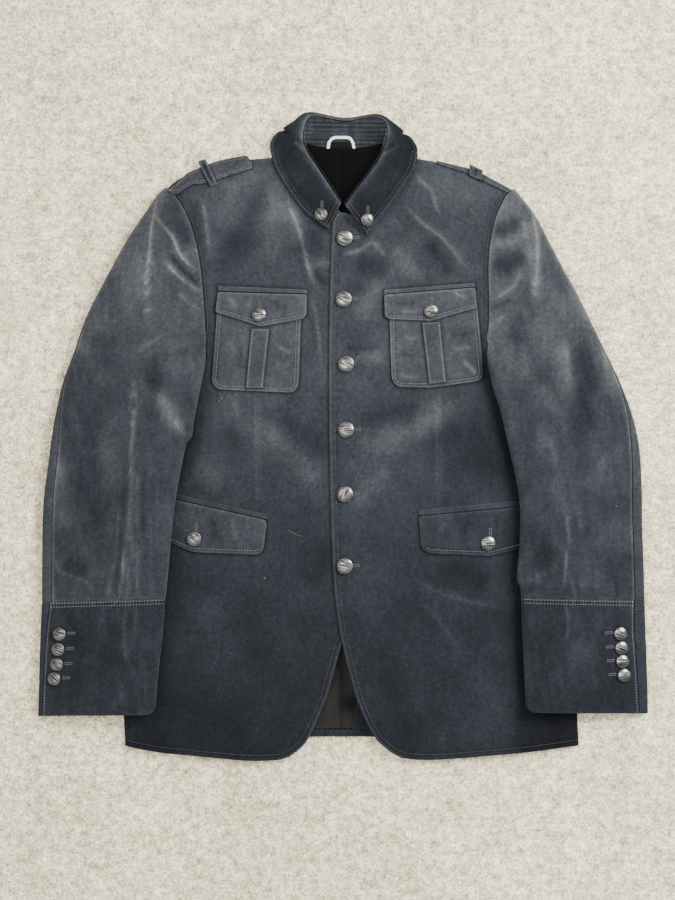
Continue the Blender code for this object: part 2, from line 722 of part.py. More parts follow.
def under_strip(side, row, closed):
    """Points of the under sleeve: elbow seam, outer edge, floor, and the inner edge if closed."""
    width = math.dist(row["out"], row["in"] if closed else row["front"])
    start = max(0.001, seam_share(row, closed) - SEAM / 2 / width)
    step = min(SEAM_STEP / width, start * 0.4)
    points = [top_point(side, row, start, closed), top_point(side, row, start - step, closed)]
    for k in range(1, OUTER_COLUMNS):
        t = (start - step) * (1.0 - k / OUTER_COLUMNS) ** 2
        points.append(top_point(side, row, t, closed))
    for k in range(FLOOR_COLUMNS + 1):
        angle = math.pi / 2 * k / FLOOR_COLUMNS
        t = UNDERARM_SHARE * 2 * share_at(angle)
        points.append(under_point(row, t, closed))
    if closed:
        inner = [math.pi / 2 * (1 - k / INNER_COLUMNS) for k in range(1, INNER_COLUMNS)]
        for angle in inner + [EDGE_STEP, 0.0]:
            t = 1.0 - (1.0 - UNDERARM_SHARE) * 2 * share_at(angle)
            points.append(under_point(row, t, closed))
        x, y, z = points[-1]
        points[-1] = (x, y, z - SEAM / 2)
    return points


def strip_mesh(rows, flip):
    """Faces between rows of points; a shorter row joins the first columns of a longer one."""
    vertices = []
    starts = []
    for row in rows:
        starts.append(len(vertices))
        vertices.extend(row)
    faces = []
    for i in range(len(rows) - 1):
        for k in range(min(len(rows[i]), len(rows[i + 1])) - 1):
            a = starts[i] + k
            b = starts[i + 1] + k
            face = [a, a + 1, b + 1, b]
            faces.append(face[::-1] if flip else face)
    return vertices, faces


def build_sleeve(side, collection):
    caps = list(reversed(cap_rows(side)))
    top_rows = [top_strip(side, row, False) for row in caps]
    top_rows += [top_strip(side, row, True) for row in RINGS[side]]
    under_rows = [under_strip(side, row, False) for row in caps]
    under_rows += [under_strip(side, row, True) for row in RINGS[side]]
    pieces = {
        "sleeve_top_": top_rows,
        "sleeve_under_": under_rows,
        "cuff_top_": [top_strip(side, row, True) for row in CUFF_RINGS[side]],
        "cuff_under_": [under_strip(side, row, True) for row in CUFF_RINGS[side]],
    }
    for name, rows in pieces.items():
        vertices, faces = strip_mesh(rows, side == "left")
        item = add_object(name + side, vertices, faces, "velvet", collection)
        thicken(item, SLEEVE_CLOTH, -1.0)


FALL_COLUMNS = 8
STAND_COLUMNS = 3


def collar_rows():
    """Collar table with every column filled, smoothly refined."""
    rows = []
    for row in COLLAR:
        full = dict(row)
        full.setdefault("edge", row["rim"])
        rows.append(full)
    return refine_rows(rows, 2)


def leaf_rest(x, y):
    """Lowest outer height that a collar leaf may have over the fronts."""
    under = front_top(side_of(x), x, y)
    if x < 0:
        under += OVERLAP_LIFT * (1.0 - ease((-x - 18.0) / 34.0))
    return under + OVERLAY + FALL_CLOTH


def fall_section(row):
    """Outer surface of the fall across one row, from the roll to its free edge."""
    roll = row["roll"]
    rim = row["rim"]
    folds = clamp(row["folds"])
    reach = math.dist(roll, rim)
    top = row["top"]
    rim_z = leaf_rest(*rim)
    start_z = top - ROLL_DEPTH * (1.0 - folds) - 0.2
    flat = []
    for k in range(FALL_COLUMNS + 1):
        u = k / FALL_COLUMNS
        share = u * u if u < 1 else 1.0
        x, y = lerp(roll, rim, share)
        bend = 1.0 - math.exp(-share * reach / 1.6)
        crest = start_z + (top - start_z) * bend
        z = crest + (rim_z - crest) * ease((share - 0.04) / 0.96)
        flat.append((x, y, max(z, leaf_rest(x, y) if k > 2 else z)))
    low = 0.0
    high = top
    folded = []
    centre_z = (low + high) / 2
    radius = (high - low) / 2
    over = min(reach, radius * 1.4)
    for k in range(FALL_COLUMNS + 1):
        u = k / FALL_COLUMNS
        if u < 0.25:
            share = u / 0.25 * (1 - over / reach)
            x, y = lerp(roll, rim, share)
            z = high
        elif u < 0.75:
            angle = math.pi * (u - 0.25) / 0.5
            share = 1 - over / reach * (1 - math.sin(angle))
            x, y = lerp(roll, rim, share)
            z = centre_z + radius * math.cos(angle)
        else:
            start = lerp(roll, rim, 1 - over / reach)
            x, y = lerp(start, row["edge"], (u - 0.75) / 0.25)
            z = low
        folded.append((x, y, z))
    return [lerp(a, b, ease(folds)) for a, b in zip(flat, folded)]


def stand_section(row):
    """Visible surface of the stand across one row, from the neck seam up to the roll."""
    roll = row["roll"]
    seam = row["seam"]
    folds = clamp(row["folds"])
    top = row["top"] - ROLL_DEPTH * (1.0 - folds) - 0.7
    seat = front_top(side_of(seam[0]), *seam) + OVERLAY + 0.2
    foot = seat + (PANEL_BACK + LINING + 1.2 - seat) * ease(folds / 0.6)
    clear = STAND_CLEAR - 1.1 * folds
    upper = lerp(toward(roll, row["rim"], -clear), toward(roll, NECK_CENTRE, clear), folds)
    points = []
    for k in range(STAND_COLUMNS + 1):
        u = k / STAND_COLUMNS
        upright = (1.0 - u) ** 2.4
        share = upright + (1.0 - u - upright) * folds
        x, y = lerp(upper, seam, share)
        points.append((x, y, foot + (top - foot) * u))
    return points


def build_collar(collection):
    rows = collar_rows()
    vertices, faces = strip_mesh([fall_section(row) for row in rows], True)
    fall = add_object("collar_fall", vertices, faces, "velvet", collection)
    thicken(fall, FALL_CLOTH, -1.0)
    vertices, faces = strip_mesh([stand_section(row) for row in rows], True)
    stand = add_object("collar_stand", vertices, faces, "velvet", collection)
    thicken(stand, STAND_CLOTH, -1.0)


def patch(name, corners, height, thickness, collection, step=12, look="velvet"):
    """Flat-cut piece that follows the cloth under it."""
    outline = join_runs([straight_through(corners + corners[:1], step)])
    inner = fill_points(outline, lambda x, y: step, (step,))
    return sheet(name, outline, height, thickness, look, collection, inner)


def build_pockets(collection):
    for side in SIGN:
        pocket = on_front(side, 0.0)
        upper = on_front(side, TRIM + OVERLAY)
        patch("chest_pocket_" + side, CHEST_POCKET[side], pocket, TRIM, collection, 15)
        patch("chest_pleat_" + side, CHEST_PLEAT[side], upper, 1.2, collection)
        patch("chest_flap_" + side, CHEST_FLAP[side], upper, TRIM, collection)
        patch("chest_welt_" + side, CHEST_WELT[side], pocket, TRIM, collection)
        patch("hip_flap_" + side, HIP_FLAP[side], pocket, TRIM, collection, 15)
        patch("hip_welt_" + side, HIP_WELT[side], pocket, TRIM, collection)


def build_epaulettes(collection):
    for side in SIGN:
        patch("epaulette_" + side, EPAULETTE[side], on_front(side, RIDGE_CLEAR), TRIM,
              collection, 7)
        upper = on_front(side, TRIM + OVERLAY + 2 * RIDGE_CLEAR)
        patch("epaulette_loop_" + side, EPAULETTE_LOOP[side], upper, 1.2, collection, 6)


def stand_height(x, y):
    """Top of the stand at the back of the neck."""
    foot = PANEL_BACK + LINING + 1.2
    return foot + (y - 345.0) / 38.0 * (7.4 - 0.7 - foot)


def build_neck(collection):
    def on_stand(x, y):
        return stand_height(x, y) + 0.5
    label = [(-13.6, 346.2), (9, 346.2), (9, 353.2), (-13.6, 353.2)]
    patch("neck_label", label, on_stand, 1.0, collection, 12, "label")
    loop = [(-20.4, 346), (-18.6, 357), (-14.4, 361.6), (9.6, 361.6), (13.8, 357), (15.6, 346),
            (11, 346), (9.6, 354.4), (7.8, 356.8), (-12.6, 356.8), (-14.4, 354.4), (-15.6, 346)]
    patch("hanger_loop", loop, on_stand, 1.0, collection, 12, "label")


def button_profile(radius):
    """Half section of a domed shank button, top to bottom."""
    return [(0, BUTTON_RISE), (0.5 * radius, 3.8), (0.88 * radius, 2.6), (radius, 1.5),
            (0.36 * radius, 1.1), (0.36 * radius, 0), (0, 0)]


def add_button(name, place, radius, height, segments, collection):
    """Turned button seated square on the cloth below it."""
    x, y = place
    slope_x = (height(x + 3, y) - height(x - 3, y)) / 6
    slope_y = (height(x, y + 3) - height(x, y - 3)) / 6
    normal = Vector((-slope_x, -slope_y, 1)).normalized()
    profile = [(r, 0, z) for r, z in button_profile(radius)]
    mesh = bpy.data.meshes.new(name)
    edges = [(i, i + 1) for i in range(len(profile) - 1)]
    mesh.from_pydata([Vector(p) * MM for p in profile], edges, [])
    mesh.materials.append(material("button").copy())
    mesh.materials[0].name = "button_" + name
    item = bpy.data.objects.new(name, mesh)
    collection.objects.link(item)
    turn = item.modifiers.new("turn", 'SCREW')
    turn.steps = segments
    turn.render_steps = segments
    turn.use_merge_vertices = True
    turn.merge_threshold = 0.00005
    turn.use_smooth_shade = True
    seat = Vector((x, y, height(x, y))) + normal * REST
    item.location = seat * MM
    item.rotation_euler = normal.to_track_quat('Z', 'Y').to_euler()
    return item


def surface_of(points_at, lift):
    """Height function on top of a patch that lies on a front."""
    def height(x, y):
        return points_at(x, y) + lift
    return height


def strip_height(rows):
    """Height function of a strip of rows seen from above, straight across each triangle."""
    triangles = []
    for first, second in zip(rows, rows[1:]):
        for k in range(min(len(first), len(second)) - 1):
            triangles.append((first[k], first[k + 1], second[k + 1]))
            triangles.append((first[k], second[k + 1], second[k]))

    def height(x, y):
        best = None
        for a, b, c in triangles:
            area = (b[0] - a[0]) * (c[1] - a[1]) - (b[1] - a[1]) * (c[0] - a[0])
            if abs(area) < 1e-6:
                continue
            u = ((x - a[0]) * (c[1] - a[1]) - (y - a[1]) * (c[0] - a[0])) / area
            v = ((b[0] - a[0]) * (y - a[1]) - (b[1] - a[1]) * (x - a[0])) / area
            if u >= -0.01 and v >= -0.01 and u + v <= 1.01:
                z = a[2] + u * (b[2] - a[2]) + v * (c[2] - a[2])
                best = z if best is None else max(best, z)
        return best
    return height


def build_buttons(collection):
    for i, place in enumerate(FRONT_BUTTONS):
        def height(x, y):
            return front_top("left", x, y)
        add_button("button_front_%d" % (i + 1), place, FRONT_BUTTON_RADIUS, height, 14, collection)
    leaf_top = strip_height([fall_section(row) for row in collar_rows()])
    for side in SIGN:
        flap_top = surface_of(on_front(side, TRIM + OVERLAY), TRIM)
        hip_top = surface_of(on_front(side, 0.0), TRIM)
        cuff_top = strip_height([top_strip(side, row, True) for row in CUFF_RINGS[side]])
        add_button("button_chest_" + side, CHEST_BUTTONS[side], CHEST_BUTTON_RADIUS, flap_top, 12,
                   collection)
        add_button("button_hip_" + side, HIP_BUTTONS[side], HIP_BUTTON_RADIUS, hip_top, 12,
                   collection)
        for i, place in enumerate(CUFF_BUTTONS[side]):
            add_button("button_cuff_%s_%d" % (side, i + 1), place, CUFF_BUTTON_RADIUS, cuff_top,
                       12, collection)
        add_button("button_collar_" + side, COLLAR_BUTTONS[side], COLLAR_BUTTON_RADIUS,
                   leaf_top, 12, collection)


def main():
    clear_scene()
    collection = bpy.data.collections.new(NAME)
    bpy.context.scene.collection.children.link(collection)
    build_back(collection)
    build_fronts(collection)
    for side in SIGN:
        build_sleeve(side, collection)
    build_collar(collection)
    build_pockets(collection)
    build_epaulettes(collection)
    build_neck(collection)
    build_buttons(collection)


main()
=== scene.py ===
"""Velvet jacket laid flat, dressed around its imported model: cloth, stitching, buttons, floor and light.

Tables are in millimetres in the model's frame: +X is the wearer's left, +Y runs to the collar.
"""
import math

import bpy
import numpy as np
from mathutils import Matrix, Vector, noise
from mathutils.bvhtree import BVHTree
from mathutils.geometry import delaunay_2d_cdt


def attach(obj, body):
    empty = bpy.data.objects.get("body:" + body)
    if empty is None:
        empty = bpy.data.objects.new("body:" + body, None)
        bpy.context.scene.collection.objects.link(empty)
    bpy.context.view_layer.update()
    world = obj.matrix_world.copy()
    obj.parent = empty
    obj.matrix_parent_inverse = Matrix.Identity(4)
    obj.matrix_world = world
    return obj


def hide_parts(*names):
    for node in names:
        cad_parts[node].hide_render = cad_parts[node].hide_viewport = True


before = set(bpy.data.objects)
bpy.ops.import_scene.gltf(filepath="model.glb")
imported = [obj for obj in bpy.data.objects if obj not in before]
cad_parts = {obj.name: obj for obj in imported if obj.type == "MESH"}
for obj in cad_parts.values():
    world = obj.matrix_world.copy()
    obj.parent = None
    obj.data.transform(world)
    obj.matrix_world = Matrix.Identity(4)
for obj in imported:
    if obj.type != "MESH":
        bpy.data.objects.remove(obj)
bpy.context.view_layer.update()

MM = 0.001
SIDES = {"right": -1.0, "left": 1.0}

# Cloth thicknesses and clearances, as in the model
CLOTH = 2.2
PANEL_BACK = 2.0
LINING = 1.0
SLEEVE_CLOTH = 2.0
TRIM = 1.5
THIN_TRIM = 1.2
HEM_FACING = 1.3
NECK_TAPE = 1.0
SEAM = 0.6
REST = 0.35
OVERLAY = 0.5
RIDGE_CLEAR = 0.5
BODY_LOFT = 14.0
SIDE_REACH = 130.0
SHOULDER_REACH = 38.0
HEM_REACH = 110.0
HEM_SHARE = 0.24
OVERLAP_LIFT = CLOTH + 0.9
OVERLAP_FULL = 22.0
OVERLAP_GONE = 66.0
SLEEVE_FLARE = 0.9
UNDERARM_Y = 75.6
UNDERARM_SHARE = 0.53
HEM_Y = -388.0
BACK_HEM_Y = -361.0
FACING_TOP_Y = -352.5
CENTRE_SEAM_X = -1.8

# Side edge of the body, x at each height y
SIDE = {
    "right": [(-372, -262.0), (-317, -264.0), (-245, -264.0), (-149, -259.2), (-53, -250.8),
              (19, -246.0), (75.6, -243.6)],
    "left": [(-372, 283.6), (-317, 280.8), (-245, 277.2), (-149, 267.6), (-53, 255.6),
             (19, 249.6), (75.6, 246.0)],
}
# Shoulder line of each front, from the sleeve to the neck
SHOULDER = {
    "right": [(-211.5, 296.6), (-200.4, 307.0), (-178.8, 317.4), (-154.8, 324.8), (-123.6, 331.2),
              (-97.2, 333.8), (-56, 336.4)],
    "left": [(202.6, 295.8), (188.4, 304.2), (169.2, 313.2), (138, 323.6), (110.4, 329.8),
             (81.6, 334.6), (58, 336.6)],
}
FRONT_EDGES = {
    "right": {
        "neck": [(-56, 336.4), (-40, 317), (-26, 297), (-12, 277), (4, 262), (17, 250)],
        "opening": [(17, 250), (18, 163), (18, -100), (14.4, -196.8), (7.2, -226.8), (-3, -254),
                    (-20, -313), (-38.8, -356.9), (-48.7, -372.4), (-64.2, -384.6), (-77.5, -389)],
        "hem": [(-77.5, -389), (-109.2, -390), (-153, -386.8), (-186.4, -383.5), (-219.6, -380.2),
                (-249.6, -375), (-262, -372)],
    },
    "left": {
        "neck": [(58, 336.6), (44, 316), (32, 295), (28, 270), (29, 252), (27.4, 245.4)],
        "opening": [(27.4, 245.4), (19.8, 255), (10.2, 264), (-0.6, 267), (-9.2, 262), (-12.8, 246),
                    (-15.6, 163.2), (-16.8, 67.2), (-15.6, -40.8), (-12, -157.2), (-6.4, -217.2),
                    (2.4, -262), (18, -319.2), (37, -358.8), (49.2, -372.4), (60.2, -381.2),
                    (71.4, -386.8)],
        "hem": [(71.4, -386.8), (93.6, -388.8), (126.8, -388), (182.4, -383.5), (226.8, -379.2),
                (271.2, -373.4), (283.6, -372)],
    },
}


def fold(x1, y1, x2, y2, half, rise):
    """One of the model's soft straight ridges."""
    return {"x1": x1, "y1": y1, "x2": x2, "y2": y2, "half": half, "rise": rise}


FRONT_FOLDS = [fold(-64, 268, -36, 200, 13, 2.6), fold(84, 262, 146, 200, 14, 2.4),
               fold(-172, 284, -160, 214, 12, 2.2), fold(96, -206, 132, -250, 14, 2.0),
               fold(152, -188, 204, -206, 14, 2.0)]
SLEEVE_FOLDS = {
    "right": [fold(-200, 236, -214, 90, 13, 3.0), fold(-214, 80, -238, -80, 14, 2.4),
              fold(-222, 46, -192, -4, 12, 2.4), fold(-250, -20, -262, -180, 14, 2.2),
              fold(-300, -90, -330, 30, 15, 1.8)],
    "left": [fold(214, 240, 232, 150, 13, 3.0), fold(236, 120, 268, 0, 15, 2.2),
             fold(270, -100, 266, -190, 14, 2.4), fold(224, -190, 232, -130, 12, 1.8),
             fold(306, -30, 330, 60, 15, 1.8)],
}


def cap_row(out, front, back, loft, seam):
    """Open row of a sleeve cap, sewn to the front and to the back."""
    return {"out": out, "front": front, "back": back, "loft": loft, "seam": seam}


def ring_row(out, inner, loft, seam):
    """Closed ring of a sleeve or cuff."""
    return {"out": out, "in": inner, "loft": loft, "seam": seam}


# Sleeve cap from the underarm up to the shoulder: silhouette, armhole points, loft, elbow seam
CAP = {
    "right": [cap_row((-322, 102), (-163.6, 112), (-230, 104), 20, 1.5),
              cap_row((-309.6, 138), (-165, 144), (-214, 134), 23, 1),
              cap_row((-293, 172), (-167.4, 176), (-204, 168), 24, 1),
              cap_row((-275, 206), (-170.6, 206), (-200, 202), 23, 1),
              cap_row((-256, 240), (-177, 238), (-201, 234), 20, 1),
              cap_row((-237, 268), (-186.6, 265), (-205.5, 262), 16, 1),
              cap_row((-222, 290), (-201, 288.6), (-210, 286), 11, 1),
              cap_row((-212.4, 298.8), (-210, 295.6), (-211.8, 291), 8.5, 0.8)],
    "left": [cap_row((314, 102), (172.4, 112), (234, 104), 20, 1.5),
             cap_row((296.4, 138), (173.8, 144), (219, 134), 23, 1),
             cap_row((280.6, 170), (173.6, 176), (209, 168), 24, 1),
             cap_row((261, 206), (173.2, 206), (205, 202), 23, 1),
             cap_row((244.4, 238), (176.4, 238), (206, 234), 20, 1),
             cap_row((229.4, 266), (183.6, 265), (203.5, 262), 16, 1),
             cap_row((211.6, 289.6), (194.4, 287.6), (202.5, 285), 11, 1),
             cap_row((204.6, 297.2), (201.2, 294.4), (203.5, 290), 8.5, 0.8)],
}
# Closed rings of each sleeve and cuff: outer edge, inner edge, loft, elbow seam
RINGS = {
    "right": [ring_row((-336, 64), (-163.8, 89.6), 17, 2), ring_row((-344, 30), (-168.4, 64), 17, 5),
              ring_row((-349.6, -2), (-175.6, 32), 17, 9), ring_row((-354, -36), (-184.6, 0), 18, 11),
              ring_row((-358.6, -70), (-192.6, -36), 18, 12),
              ring_row((-360.4, -104), (-200, -78), 17, 12),
              ring_row((-361, -138), (-204.8, -120), 16, 12),
              ring_row((-361.2, -170), (-208.2, -160), 16, 12),
              ring_row((-361.2, -199.4), (-211.6, -193.6), 16, 12)],
    "left": [ring_row((332.6, 64), (171.8, 89.6), 17, 2), ring_row((345.4, 30), (178, 60), 17, 5),
             ring_row((353.6, -2), (187, 32), 17, 9), ring_row((357.4, -36), (196.4, -8), 18, 11),
             ring_row((358.6, -70), (205.6, -48), 18, 12), ring_row((359, -104), (211, -84), 17, 12),
             ring_row((360.2, -138), (210.8, -124), 16, 12),
             ring_row((361.2, -170), (209.6, -162), 16, 12),
             ring_row((362, -197.2), (212.4, -192.6), 16, 12)],
}
CUFF_RINGS = {
    "right": [ring_row((-361.4, -199.6), (-211.8, -193.9), 16, 10),
              ring_row((-363, -236), (-214.6, -232), 15.5, 7),
              ring_row((-364.2, -270), (-218.4, -266), 15, 6),
              ring_row((-365, -304), (-221.6, -300), 15, 5),
              ring_row((-366, -336), (-223.6, -333), 14, 5)],
    "left": [ring_row((362, -197.4), (212.4, -192.9), 16, 13),
             ring_row((363, -232), (213.4, -228), 15.5, 14),
             ring_row((364.4, -266), (215, -262), 15, 13),
             ring_row((365.4, -300), (216.6, -296), 15, 12),
             ring_row((366.2, -333), (218, -330), 14, 11)],
}


def crease(half, rise, tone, *points):
    """A fold given one by one: half width and height in mm, its tone, which paints a highlight above 0 and a
    shade below 0, and its line.
    """
    return {"half": half, "rise": rise, "tone": tone, "points": points}


def collar_row(roll, rim, seam, top, folds=0.0, edge=None):
    """Section of the collar: roll line, rim, neck seam, height, share folded under, free edge."""
    return {"roll": roll, "rim": rim, "seam": seam, "top": top, "folds": folds, "edge": edge or rim}


# Collar sections from the right front round the neck to the left front
COLLAR = [
    collar_row((-2, 278), (-17.5, 246.8), (-6, 273), 28),
    collar_row((-16, 299), (-46, 268), (-20.4, 294.8), 28),
    collar_row((-30, 320.4), (-66.5, 295.2), (-35.2, 317), 28),
    collar_row((-42, 338.4), (-81, 321.6), (-48, 336), 24.5),
    collar_row((-47.4, 352.4), (-87.6, 345), (-48.6, 350.8), 19, 0.0, (-85, 346)),
    collar_row((-47.8, 359.4), (-85.2, 357), (-47, 351.2), 16.2, 0.15, (-83, 357.1)),
    collar_row((-47.6, 366), (-77.4, 366), (-45.6, 351.4), 13.5, 0.5, (-72.5, 366)),
    collar_row((-42.6, 380.6), (-60, 378), (-38.4, 350), 9.6, 1.0, (-50, 354.6)),
    collar_row((-32, 384.6), (-41, 389.4), (-26, 347.4), 8, 1.0, (-32, 351.4)),
    collar_row((1.6, 378.4), (1.6, 382.6), (0, 345), 7.4, 1.0, (1.6, 348.4)),
    collar_row((33, 382.8), (41, 387), (26, 347.4), 8, 1.0, (34, 351.4)),
    collar_row((48.6, 379.4), (61, 376.4), (40, 350), 9.6, 1.0, (51, 354.6)),
    collar_row((53.4, 366), (78, 361.8), (47.4, 351.4), 13.5, 0.5, (73, 362.4)),
    collar_row((52.2, 358.4), (86, 353), (49, 350.8), 16.2, 0.15, (83.5, 353.3)),
    collar_row((50.4, 350.4), (89.8, 340.6), (50.4, 350.2), 19, 0.0, (87, 341.6)),
    collar_row((44.4, 333.6), (85.4, 319.2), (50.4, 331.2), 25.5),
    collar_row((30, 312), (68.6, 292.8), (35.2, 309.2), 29.5),
    collar_row((15.6, 294), (49.4, 266.4), (19.6, 290.4), 31),
    collar_row((2, 275), (28.1, 240.6), (5.2, 270.8), 31),
]
COLLAR_CREASES = [
    crease(2.4, 1.1, 0.7, (-62, 352), (-56, 349), (-51, 344), (-48, 337)),
    crease(2.6, -0.9, -0.6, (-58, 358), (-53, 355), (-48, 350), (-46, 346)),
    crease(2.4, 1.3, 0.9, (44, 332), (50, 338), (57, 342), (70, 349)),
    crease(2.6, -0.9, -0.5, (46, 338), (52, 343), (58, 346), (64, 350)),
    crease(9, 0.6, 0.3, (-70, 330), (-52, 306), (-34, 284)),
    crease(8, 0.6, 0.3, (70, 326), (52, 298), (36, 276)),
]
# Sections worked out between one collar row and the next
COLLAR_STEPS = 8
FALL_CLOTH = 2.2
STAND_CLOTH = 1.5
ROLL_DEPTH = 3.0
STAND_CLEAR = 2.5
NECK_CENTRE = (2.0, 345.0)
# The stand behind the neck: height of its foot, height of its middle, and how far it runs in plan
STAND_FOOT = PANEL_BACK + LINING + 1.2
STAND_MIDDLE = 6.7
STAND_RUN = 38.0

# Flat-cut pieces on the fronts: their corners
CHEST_POCKET = {
    "right": [(-150, 157), (-50, 157), (-53.4, 60), (-60, 51.6), (-150, 55.6), (-157.2, 64)],
    "left": [(55, 157), (159.6, 163), (168, 72), (161, 65.4), (104, 57.6), (65, 58.6), (58, 67)],
}
CHEST_PLEAT = {
    "right": [(-109.4, 128.2), (-88.4, 127.8), (-96, 57.2), (-116.2, 57.2)],
    "left": [(94.4, 135), (115.6, 136.2), (122.8, 64.6), (102.8, 62.6)],
}
CHEST_FLAP = {
    "right": [(-149.6, 171.8), (-43.4, 168.8), (-43.8, 145), (-48.4, 140), (-98.6, 130.8),
              (-152.6, 148.2)],
    "left": [(49.2, 168.6), (157.6, 177), (160, 153.4), (105, 137.6), (54.6, 139.6), (49.8, 143.4)],
}
CHEST_WELT = {
    "right": [(-148.8, 179.4), (-43, 174.6), (-43, 170.2), (-149.4, 173.4)],
    "left": [(49.2, 174.4), (157, 183), (157.4, 178.4), (49.2, 169.8)],
}
HIP_FLAP = {
    "right": [(-232, -72), (-199.7, -76.6), (-91, -101), (-95.2, -136), (-102, -142), (-179.6, -139),
              (-232, -118)],
    "left": [(90.4, -96.4), (210, -85.4), (238, -83.4), (240, -124), (210, -134.9),
             (176.6, -143.4), (102.4, -140.4), (93.6, -134.6)],
}
HIP_WELT = {
    "right": [(-230, -64.6), (-198.5, -69.8), (-90.8, -93.8), (-90.8, -99.6), (-199.6, -75.2),
              (-230, -70.4)],
    "left": [(90.2, -88.8), (210, -77.6), (236, -75.4), (236, -82), (210, -84), (90.2, -95)],
}
EPAULETTE = {
    "right": [(-211.4, 294), (-186, 316.4), (-170.4, 322.8), (-155, 329), (-133.7, 334.2),
              (-115.2, 336.8), (-109, 328), (-109.2, 321.2), (-145.9, 309), (-161.2, 302.9),
              (-181.2, 301.4), (-200.4, 289)],
    "left": [(202.6, 296), (168, 314.6), (149.8, 321.4), (111.5, 330.8), (114.5, 326.6),
             (151.2, 315.1), (162, 309), (197.2, 292.2)],
}
EPAULETTE_LOOP = {
    "right": [(-174.6, 329.4), (-165.2, 332.6), (-150.4, 301.4), (-158.4, 298.6)],
    "left": [(151.6, 326), (167.6, 318.8), (167.2, 306), (151.4, 312.4)],
}
